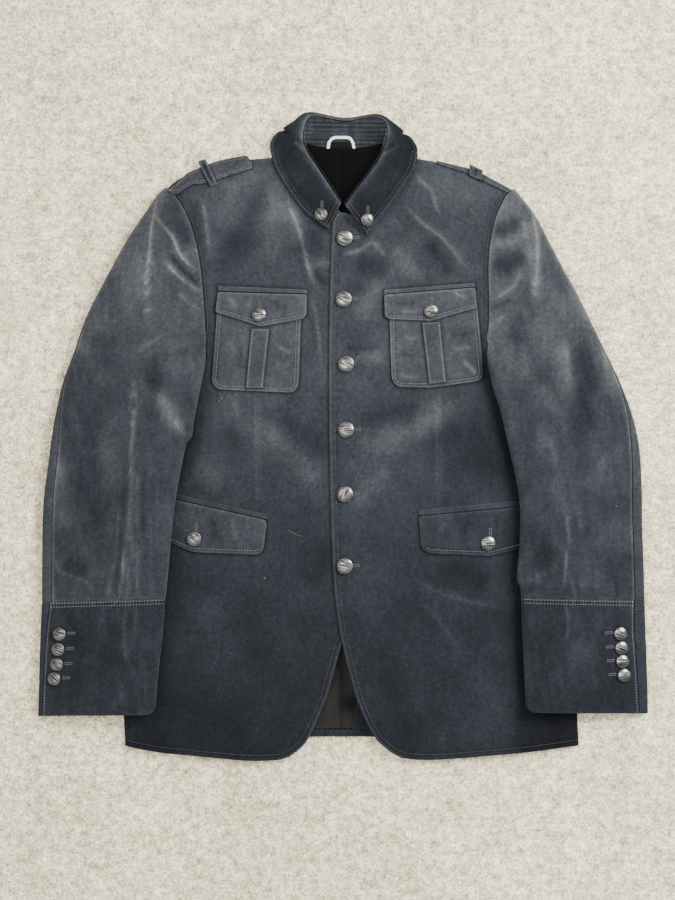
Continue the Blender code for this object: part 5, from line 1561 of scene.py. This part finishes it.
def stand_section(row, columns):
    """Visible surface of the stand across one row, from the neck seam up to the roll."""
    roll, rim, seam = (np.asarray(row[k], float) for k in ("roll", "rim", "seam"))
    folds = float(np.clip(row["folds"], 0.0, 1.0))
    top = float(row["top"]) - ROLL_DEPTH * (1.0 - folds) - 0.7
    side = "left" if seam[0] > 0 else "right"
    seat = float(front_top(side, seam[:1], seam[1:])[0]) + OVERLAY + 0.2
    foot = seat + (STAND_FOOT - seat) * float(ease(folds / 0.6))
    clear = STAND_CLEAR - 1.1 * folds
    upper = lerp(toward(tuple(roll), tuple(rim), -clear), toward(tuple(roll), NECK_CENTRE, clear), folds)
    u = np.linspace(0.0, 1.0, columns)
    upright = (1.0 - u) ** 2.4
    share = upright + (1.0 - u - upright) * folds
    xy = np.asarray(upper) + (seam - np.asarray(upper)) * share[:, None]
    return np.column_stack([xy, foot + (top - foot) * u])


def collar_piece(node, strips, thickness, tone_at, folds):
    """Shell over strips of the collar, with creases where it faces up."""
    grid = refine_stations(strips, smooth_stations(strips, COLLAR_SPACING))
    grid = edge_steps(grid, thickness)
    faces = grid_faces(count_up(grid.shape), True)
    edge = grid_edge(grid).ravel()
    points = grid.reshape(-1, 3)
    rise, own_tone = creases_at(folds, points[:, 0], points[:, 1])
    upper = vertex_normals(points, faces)[:, 2] > 0.2
    rise = rise + 0.25 * wobble(points[:, 0], points[:, 1], 14.0, 8.0)
    points[:, 2] += rise * ease(edge / 6.0) * upper
    shell(node, points, faces, thickness, edge, tone_at(grid).ravel() + own_tone * upper, edge_highlight=0.35)


def build_collar():
    """Fall and stand, which share their rows."""
    rows = collar_rows()

    def fall_tone(grid):
        run = lengths_from_start(grid, 1)
        # Painted highlight along the roll; on the edge, a painted highlight on its ridge and painted shade
        # in the stitch groove inside it
        roll = 1.1 * bell(run, 6.0) + 0.45 * bell(run, 15.0)
        rim = run[:, -1:] - run
        welt = 0.65 * bell(rim - 3.0, 2.2) - 0.4 * bell(rim - 7.0, 1.4)
        side = 0.2 * ease(-grid[..., 0] / 30.0)
        return -1.35 + roll + welt + side + 0.14 * wobble(grid[..., 0], grid[..., 1], 22.0, 4.0)

    def stand_tone(grid):
        x, y = grid[..., 0], grid[..., 1]
        below = 1.3 * ease((350.0 - y) / 8.0)
        # Painted light and shade on the puckered ridges between the rows of stitching
        stitch_ridge_shading = 0.42 * np.sin(y * 1.25 + 0.02 * x)
        return 0.3 * wobble(x * 2.0, y * 0.6, 14.0, 5.0) + stitch_ridge_shading - below - 0.5

    fall = [fall_section(row, FALL_COLUMNS) for row in rows]
    stand = [stand_section(row, STAND_COLUMNS) for row in rows]
    collar_piece("collar_fall", fall, FALL_CLOTH, fall_tone, COLLAR_CREASES)
    collar_piece("collar_stand", stand, STAND_CLOTH, stand_tone, [])


def trim_at(side, lift, tone_shift=0.0, extra=(), sewn=()):
    """Upper side of a piece that lies on a front, lifted off it, with creases of its own, and painted shade
    along the edges of what lies on it.
    """
    def top_at(x, y):
        rise, tone = front_relief(side, x, y)
        own, own_tone = creases_at(extra, x, y)
        own_tone = 1.5 * own_tone
        own = own + 0.22 * wobble(x, y, 13.0, 17.0)
        # Painted shade along the edges of what lies on this piece
        shade = edge_shade(x, y, sewn, 0.75)
        return front_top(side, x, y) + rise + lift + own, tone + own_tone + tone_shift - shade
    return top_at


def inner_line(corners, distance, bare=()):
    """Stitch guide parallel to an outline, left out beside the bare run of corners."""
    ring = offset_inward(rounded(corners, 2.0, 2.0), distance)
    if not bare:
        return np.vstack([ring, ring[:1]])
    keep = line_distance(ring[:, 0], ring[:, 1], bare)[0] > distance + 0.6
    start = next(i for i in range(len(ring)) if keep[i] and not keep[i - 1])
    return np.roll(ring, -start, axis=0)[: keep.sum()]


POCKET_CREASES = {
    "right": [crease(4, 0.5, 0.5, (-82, 108), (-70, 103), (-58, 97)),
              crease(5, 0.4, 0.25, (-84, 88), (-72, 84), (-60, 86)),
              crease(6, 0.4, 0.25, (-140, 120), (-132, 104), (-136, 84)),
              crease(5, -0.5, -0.3, (-126, 120), (-122, 96), (-126, 74))],
    "left": [crease(4, 0.6, 0.5, (142, 92), (150, 84), (162, 72)),
             crease(5, 0.5, 0.3, (70, 122), (80, 116), (92, 118)),
             crease(5, -0.5, -0.3, (126, 124), (138, 120), (154, 124)),
             crease(5, 0.5, 0.3, (128, 106), (142, 104), (156, 108)),
             crease(5, -0.4, -0.25, (66, 100), (80, 96), (94, 100)),
             crease(6, 0.4, 0.3, (66, 76), (80, 70), (94, 74))],
}
FLAP_CREASES = {
    "right": [crease(5, 0.5, 0.4, (-140, 166), (-132, 160), (-126, 150)),
              crease(4, 0.4, 0.3, (-108, 166), (-112, 158), (-118, 150)),
              crease(5, -0.4, -0.3, (-84, 164), (-78, 156), (-66, 150))],
    "left": [crease(4, 0.5, 0.45, (130, 174), (138, 168), (150, 164)),
             crease(5, -0.4, -0.3, (60, 160), (76, 158), (90, 160)),
             crease(4, 0.4, 0.3, (66, 150), (82, 148), (92, 152))],
}
HIP_CREASES = {
    "right": [crease(6, 0.6, 0.35, (-134, -92), (-131, -108), (-127, -130)),
              crease(6, -0.4, -0.25, (-160, -90), (-156, -110), (-150, -130))],
    "left": [crease(6, 0.6, 0.35, (134, -92), (122, -104), (114, -120)),
             crease(6, -0.4, -0.25, (150, -96), (146, -114), (140, -130))],
}


def build_trims():
    """Pockets, pleats, flaps and welts, epaulettes and their loops. Returns the stitch guides."""
    guides = {}
    for side in SIDES:
        upper = 2 * OVERLAY + 2 * TRIM
        # Each row: name, table, corner radius, lift, thickness, tone shift, creases, stitch inset, and the
        # painted highlight along its edges
        rows = [
            ("chest_pocket_", CHEST_POCKET, 6.0, OVERLAY + TRIM, TRIM, 0.3, POCKET_CREASES, 4.6, 0.85),
            ("chest_pleat_", CHEST_PLEAT, 0.8, upper - TRIM + THIN_TRIM, THIN_TRIM, 0.15, POCKET_CREASES,
             0.0, 0.75),
            ("chest_flap_", CHEST_FLAP, 2.5, upper, TRIM, 0.32, FLAP_CREASES, 4.4, 0.8),
            ("chest_welt_", CHEST_WELT, 0.8, OVERLAY + TRIM, TRIM, 0.0, FLAP_CREASES, 0.0, 0.7),
            ("hip_flap_", HIP_FLAP, 5.0, OVERLAY + TRIM, TRIM, HIP_TONE[side], HIP_CREASES, 4.6, 0.7),
            ("hip_welt_", HIP_WELT, 0.8, OVERLAY + TRIM, TRIM, 0.05, HIP_CREASES, 0.0, 0.5),
        ]
        for name, table, radius, lift, thickness, shift, creases, stitch, edge_highlight in rows:
            outline = rounded(table[side], radius, 2.4)
            bare = [table[side][i] for i in BARE_TOPS[name][side]] if name in BARE_TOPS else ()
            lines = [inner_line(table[side], stitch, bare)] if stitch else []
            guides[name + side] = lines
            sewn = (CHEST_FLAP[side], CHEST_PLEAT[side]) if name == "chest_pocket_" else ()
            top_at = trim_at(side, lift, shift, creases[side], sewn)
            plate(name + side, outline, top_at, thickness, SPACING_TRIM, guides=lines,
                  edge_highlight=edge_highlight)
        ridge = OVERLAY + RIDGE_CLEAR + TRIM
        guides["epaulette_" + side] = [inner_line(EPAULETTE[side], 3.2)] if side == "right" else []
        top_at = trim_at(side, ridge, EPAULETTE_TONE[side], (), (EPAULETTE_LOOP[side],))
        plate("epaulette_" + side, rounded(EPAULETTE[side], 1.5, 2.0), top_at, TRIM, 2.0,
              guides=guides["epaulette_" + side], edge_highlight=0.6)
        over = TRIM + 2 * OVERLAY + 2 * RIDGE_CLEAR + THIN_TRIM
        top_at = trim_at(side, over, EPAULETTE_TONE[side], LOOP_GROOVE[side])
        plate("epaulette_loop_" + side, rounded(EPAULETTE_LOOP[side], 1.0, 1.5), top_at, THIN_TRIM, 1.4,
              edge_highlight=0.6)
    return guides


def build_neck():
    """Bare label and hanger loop, which lie on the stand."""
    def on_stand(x, y):
        slope = (STAND_MIDDLE - STAND_FOOT) / STAND_RUN
        return STAND_FOOT + (y - NECK_CENTRE[1]) * slope + STAND_CLOTH, 0.0 * x

    label = [(-13.6, 346.2), (9, 346.2), (9, 353.2), (-13.6, 353.2)]
    plate("neck_label", rounded(label, 0.6, 1.5), on_stand, NECK_TAPE, 1.6, "label",
          edge_highlight=0.0)
    loop = [(-19.8, 345), (-18.6, 353), (-14.4, 358.4), (-10, 360.2), (6, 360.2), (10, 358.4),
            (13.4, 353), (15, 345), (11.6, 345), (10.2, 352), (8.2, 355.4), (5.4, 356.6),
            (-9.4, 356.6), (-12.6, 355.4), (-15.2, 352), (-16.2, 345)]
    plate("hanger_loop", rounded(loop, 1.2, 1.4), on_stand, NECK_TAPE, 1.5, "loop",
          edge_highlight=0.0)


def surface_tree(*nodes):
    """Search tree over the upper sides of pieces, in millimetres."""
    points = []
    faces = []
    count = 0
    for node in nodes:
        upper, tris = surfaces[node]
        points.append(upper)
        faces.append(tris + count)
        count += len(upper)
    return BVHTree.FromPolygons(np.vstack(points).tolist(), np.vstack(faces).tolist())


def drop_on(tree, x, y):
    """Place and normal where a plumb line first meets the cloth, or None."""
    place, normal = tree.ray_cast(Vector((x, y, ABOVE_ALL)), Vector((0, 0, -1)))[:2]
    return (place, normal) if place else None


def resample(line, pitch):
    """Evenly spaced points along a run, ends included."""
    line = np.asarray(line, float)
    lengths = np.concatenate([[0.0], np.cumsum(np.linalg.norm(np.diff(line, axis=0), axis=1))])
    count = max(2, int(lengths[-1] / pitch) + 1)
    at = np.linspace(0.0, lengths[-1], count)
    return np.stack([np.interp(at, lengths, line[:, k]) for k in range(line.shape[1])], axis=1)


def thread_mesh(threads, radius):
    """Joined short threads, each a run of three points: thick in the middle, sunk at its ends."""
    ring = [(math.cos(a), math.sin(a)) for a in np.linspace(0, 2 * math.pi, THREAD_SIDES + 1)[:-1]]
    points = []
    faces = []
    for start, middle, end, normal in threads:
        axis = (end - start).normalized()
        across = axis.cross(normal).normalized()
        base = len(points)
        points.append(start - normal * radius * 0.6)
        for centre in (start.lerp(middle, 0.45), end.lerp(middle, 0.45)):
            for c, s in ring:
                points.append(centre + across * (c * radius) + normal * (s * radius + radius * 0.35))
        points.append(end - normal * radius * 0.6)
        first = base + 1
        second = first + THREAD_SIDES
        tip = second + THREAD_SIDES
        for k in range(THREAD_SIDES):
            n = (k + 1) % THREAD_SIDES
            faces.append((base, first + n, first + k))
            faces.append((first + k, first + n, second + n))
            faces.append((first + k, second + n, second + k))
            faces.append((second + k, second + n, tip))
    return [tuple(p) for p in points], faces


def stitch(name, node_names, lines, pitch=3.3, radius=THREAD, share=0.66, look="thread"):
    """Topstitching along plan lines, dropped on the named pieces."""
    tree = surface_tree(*node_names)
    threads = []
    for line in lines:
        at = resample(line, pitch)
        for a, b in zip(at, at[1:]):
            start = drop_on(tree, *a)
            end = drop_on(tree, *(a + (b - a) * share))
            if not start or not end or abs(start[0].z - end[0].z) > STEP_HEIGHT:
                continue
            threads.append((start[0], (start[0] + end[0]) / 2, end[0], start[1]))
    if not threads:
        return
    points, faces = thread_mesh(threads, radius)
    item = mesh_object(name, points, faces, looks[look])
    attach(item, "root")


def buttonhole_lines(x, y, angle, length):
    """Short wraps round a slit."""
    direction = Vector((math.cos(angle), math.sin(angle)))
    across = Vector((-direction.y, direction.x))
    lines = []
    count = round(length / WRAP_PITCH)
    for k in range(count + 1):
        centre = Vector((x, y)) + direction * (length * (k / count - 0.5))
        for sign in (-1, 1):
            near = centre + across * (SLIT_HALF * sign)
            far = centre + across * (WRAP_REACH * sign)
            lines.append([tuple(near), tuple(far)])
    for k in (-1, 1):
        centre = Vector((x, y)) + direction * (length * 0.53 * k)
        lines.append([tuple(centre - across * WRAP_REACH), tuple(centre + across * WRAP_REACH)])
    return lines


BUTTON_RADIUS = {"front": 9.8, "collar": 7.8, "chest": 8.4, "hip": 8.9, "cuff": 8.0}
BUTTON_RISE = 4.2
BUTTON_SEGMENTS = 56
# Section of a button from the top of its dome to its shank, in shares of its radius and rise
BUTTON_PROFILE = [(0.001, 1.0), (0.12, 0.995), (0.24, 0.985), (0.36, 0.965), (0.48, 0.93), (0.6, 0.88),
                  (0.7, 0.82), (0.8, 0.74), (0.88, 0.66), (0.94, 0.62), (0.98, 0.54), (1.0, 0.42),
                  (0.97, 0.34), (0.9, 0.3), (0.36, 0.27), (0.36, -0.02), (0.001, -0.02)]
# Rows of that section that bear streaks
DOME_ROWS = 9
# Places of the front buttons from the collar down, and the turn of each one's streaks in degrees
FRONT_BUTTONS = [(1.8, 236.4), (0.7, 163.4), (3.6, 85.9), (3.6, 7.2), (2.4, -69.6), (2.2, -155.5)]
FRONT_TURNS = [80, 152, 4, 30, 52, 128]
# The third front button is sewn askew, so its buttonhole leans
LEANING_BUTTON = 2
CUFF_BUTTONS = {
    "right": [(-339.1, -237.2), (-340.8, -255.5), (-342.5, -273.6), (-345.4, -290.6)],
    "left": [(331.7, -236.6), (333.0, -253.6), (334.2, -269.8), (336.2, -286.4)],
}


def button_rows():
    """Each button: node ending, kind, place, piece below, turn, and its hole's place, turn and length."""
    rows = []
    for i, (x, y) in enumerate(FRONT_BUTTONS):
        lean, higher = (0.9, 5) if i == LEANING_BUTTON else (0.05, 0.6)
        rows.append(("front_%d" % (i + 1), "front", (x, y), ["front_left"], FRONT_TURNS[i],
                     (x + 12.4, y + higher), lean, 9))
    turns = {"right": (95, 60, 35), "left": (100, 84, 70)}
    chest = {"right": (-100.4, 145), "left": (104.9, 149)}
    hip = {"right": (-178.1, -123.1), "left": (173.4, -128.4)}
    collar = {"right": (-26.2, 264.6), "left": (28.6, 258)}
    for side, sign in SIDES.items():
        up = math.pi / 2
        rows.append(("chest_" + side, "chest", chest[side], ["chest_flap_" + side], turns[side][0],
                     (chest[side][0] + 0.5, chest[side][1] + 11.0), up, 8))
        rows.append(("hip_" + side, "hip", hip[side], ["hip_flap_" + side], turns[side][1],
                     (hip[side][0] + 2.5, hip[side][1] + 13.0), up, 9))
        rows.append(("collar_" + side, "collar", collar[side], ["collar_fall"], turns[side][2],
                     (collar[side][0] + 1.0, collar[side][1] + 12.0), up, 7))
        for i, place in enumerate(CUFF_BUTTONS[side]):
            rows.append(("cuff_%s_%d" % (side, i + 1), "cuff", place, ["cuff_top_" + side],
                         70 + 9 * i * sign, (place[0] - sign * 14.0, place[1] + 1.2), 0.05, 8))
    return rows


def groove_depth(px, py, radius, seed):
    """Uneven parallel streaks cut in a button's dome, 0 to 1."""
    total = np.zeros(px.shape)
    for k in range(7):
        offset = radius * (-0.74 + 0.17 * k + 0.08 * math.sin(3.7 * k + seed))
        width = 0.3 + 0.5 * abs(math.sin(2.3 * k + seed * 1.7))
        centre = radius * 0.5 * math.sin(5.1 * k + seed * 2.3)
        length = radius * (0.35 + 0.5 * abs(math.cos(1.9 * k + seed)))
        wave = offset + 0.3 * np.sin(py / radius * 3.0 + k)
        fade = np.exp(-((py - centre) / length) ** 4)
        total = np.maximum(total, bell(px - wave, width) * fade)
    return total


def build_button(name, kind, place, under, turn, seed):
    """Domed button seated on the cloth and tilted as the cloth lies."""
    radius = BUTTON_RADIUS[kind]
    tree = surface_tree(*under)
    spots = [drop_on(tree, place[0] + dx, place[1] + dy)
             for dx, dy in ((0, 0), (3, 0), (-3, 0), (0, 3), (0, -3))]
    spots = [s for s in spots if s]
    normal = sum((s[1] for s in spots), Vector()).normalized()
    seat = spots[0][0].z
    angles = np.linspace(0, 2 * math.pi, BUTTON_SEGMENTS, endpoint=False)
    out, up = np.array(BUTTON_PROFILE).T[:, :, None]
    px = out * radius * np.cos(angles)
    py = out * radius * np.sin(angles)
    depth = groove_depth(px, py, radius, seed)
    depth[DOME_ROWS:] = 0.0
    pz = up * BUTTON_RISE - 0.32 * depth
    index = count_up(px.shape)
    faces = grid_faces(np.column_stack([index, index[:, 0]]), True)
    points = np.stack([px, py, pz], axis=-1).reshape(-1, 3)
    item = mesh_object("button_%s_metal" % name, points, faces, looks["button"])
    give_values(item, "groove", depth.ravel())
    where = Vector((place[0], place[1], seat)) + normal * 0.3
    spin = Matrix.Rotation(math.radians(turn - 90), 4, "Z")
    item.matrix_world = (Matrix.Translation(where * MM)
                         @ normal.to_track_quat("Z", "Y").to_matrix().to_4x4() @ spin)
    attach(item, "root")
    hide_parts("button_" + name)


def build_buttons():
    """All buttons, and the buttonholes beside them joined piece by piece."""
    holes = {}
    for seed, (name, kind, place, under, turn, hole, lean, length) in enumerate(button_rows()):
        build_button(name, kind, place, under, turn, 1.0 + 0.77 * seed)
        holes.setdefault(tuple(under), []).extend(buttonhole_lines(*hole, lean, length))
    for under, lines in holes.items():
        stitch("buttonholes_" + under[0], under, lines, pitch=9.0, radius=0.4, share=1.0,
               look="dark_thread")


def seam_beside(side, rows, key, gap, step):
    """Stitch line beside a seam of the sleeve, moved towards the body."""
    line = []
    for row in rows:
        shift = gap + (row["seam"] if key == "out" else 0.0)
        line.append((row[key][0] - SIDES[side] * shift, row[key][1]))
    return [curve_through(line, step)]


def build_stitches(front_guides, trim_guides):
    for side in SIDES:
        front = ["front_" + side]
        stitch("stitch_front_" + side, front, front_guides[side], look="dark_thread")
        second = inset_run(side, ("opening",), 2.0, HIDDEN_START[side])
        stitch("stitch_edge_" + side, front, [second], radius=FINE_THREAD, look="dark_thread")
        for name in ("chest_pocket_", "chest_flap_", "hip_flap_", "epaulette_"):
            if trim_guides[name + side]:
                stitch("stitch_" + name + side, [name + side], trim_guides[name + side])
        pleat = CHEST_PLEAT[side]
        lines = []
        for near, far in (((0, 1), (3, 2)), ((1, 0), (2, 3))):
            ends = [toward(pleat[a], pleat[b], 1.6) for a, b in (near, far)]
            lines.append(straight_through(ends, 4))
        stitch("stitch_pleat_" + side, ["chest_pleat_" + side], lines, radius=FINE_THREAD)
        inner, outer = (CUFF_RINGS[side][0][key] for key in ("in", "out"))
        lines = []
        for below in (1.8, 6.0):
            ends = [(inner[0], inner[1] - below), (outer[0] * 0.992, outer[1] - below)]
            lines.append(straight_through(ends, 5))
        cuff = ["cuff_top_" + side]
        stitch("stitch_cuff_" + side, cuff, lines)
        elbow = seam_beside(side, RINGS[side][2:], "out", 2.6, 5)
        stitch("stitch_elbow_" + side, ["sleeve_top_" + side], elbow, radius=FINE_THREAD, look="dark_thread")
        vent = seam_beside(side, CUFF_RINGS[side], "out", 2.6, 5)
        stitch("stitch_vent_" + side, cuff, vent, radius=FINE_THREAD)
        armhole = seam_beside(side, cap_rows(side), "front", 2.4, 4)
        stitch("stitch_armhole_" + side, front, armhole, radius=FINE_THREAD, look="dark_thread")
    edges = []
    for span in (COLLAR[:5], COLLAR[14:]):
        for back in (1.8, 7.0):
            edges.append(curve_through([toward(r["rim"], r["roll"], back) for r in span], 4))
    tips = []
    for row, other in ((COLLAR[0], COLLAR[1]), (COLLAR[-1], COLLAR[-2])):
        for back in (2.0, 6.5):
            shift = np.subtract(other["roll"], row["roll"]) * back / math.dist(other["roll"], row["roll"])
            tips.append([tuple(np.add(row["rim"], shift)), tuple(np.add(row["roll"], shift))])
    stitch("stitch_collar", ["collar_fall"], edges + tips, look="dark_thread")
    rows = [[(-36, y + 1.2), (0, y), (38, y + 1.2)] for y in (373, 366, 360, 351.6)]
    stitch("stitch_stand", ["collar_stand"], rows, radius=0.32, look="dark_thread")


def build_lint():
    """Specks and hairs of pale lint lying on the velvet."""
    spots = [((-94, -170), 2.2), ((-145, 45), 1.6), ((-138, 47), 1.2), ((-148, 41), 1.1),
             ((327, -84), 1.3), ((-233, -120), 1.0), ((150, 207), 1.0), ((147, 204), 0.8),
             ((-135, -260), 0.9)]
    lines = []
    for (x, y), size in spots:
        lines.append([(x - size, y - 0.5 * size), (x + size, y + 0.6 * size)])
        lines.append([(x - 0.4 * size, y + size), (x + 0.6 * size, y - size)])
    lines.append([(151, 273), (158, 265)])
    hair = curve_through([(-66, -112), (-58, -117), (-48, -120)], 3)
    lines += [list(pair) for pair in zip(hair, hair[1:])]
    nodes = ["front_right", "front_left", "sleeve_top_left", "sleeve_top_right", "chest_pocket_right"]
    stitch("lint", nodes, lines, pitch=30.0, radius=FINE_THREAD, share=1.0, look="lint")


def add_floor():
    """The pale floor that the jacket lies on."""
    at = np.linspace(-FLOOR_HALF, FLOOR_HALF, 60)
    gx, gy = np.meshgrid(at, at)
    points = np.stack([gx, gy, np.full(gx.shape, FLOOR_Z)], axis=-1).reshape(-1, 3) / MM
    floor = mesh_object("floor", points, grid_faces(count_up(gx.shape), False), floor_look())


def add_area(name, place, aim, size, power, tint):
    """Area light that faces its aim."""
    data = bpy.data.lights.new(name, "AREA")
    data.shape = "RECTANGLE"
    data.size, data.size_y = size
    data.energy = power
    data.color = tint
    item = bpy.data.objects.new(name, data)
    item.location = place
    item.rotation_euler = (Vector(aim) - Vector(place)).to_track_quat("-Z", "Y").to_euler()
    bpy.context.scene.collection.objects.link(item)


def add_light():
    add_area("key", (1.6, 1.0, 1.8), (0, 0, 0), (1.2, 1.2), 107.0, (1.0, 0.98, 0.94))
    add_area("fill", (-0.5, 0.2, 3.9), (0, 0, 0), (2.0, 2.0), 98.0, (1.0, 0.985, 0.96))
    world = bpy.data.worlds.new("studio")
    world.use_nodes = True
    background = world.node_tree.nodes["Background"]
    background.inputs["Color"].default_value = colour(1.0, 0.985, 0.96)
    background.inputs["Strength"].default_value = 0.77
    bpy.context.scene.world = world


def add_camera():
    data = bpy.data.cameras.new("camera")
    data.sensor_width = 36.0
    data.lens = 36.0 * (CAMERA_HEIGHT - FOCUS_HEIGHT) / FRAME_LONG
    camera = bpy.data.objects.new("camera", data)
    camera.location = (*AIM, CAMERA_HEIGHT)
    bpy.context.scene.collection.objects.link(camera)
    bpy.context.scene.camera = camera


build_back()
front_guides = build_fronts()
build_sleeves()
build_collar()
trim_guides = build_trims()
build_neck()
build_buttons()
build_stitches(front_guides, trim_guides)
build_lint()
add_floor()
add_light()
add_camera()
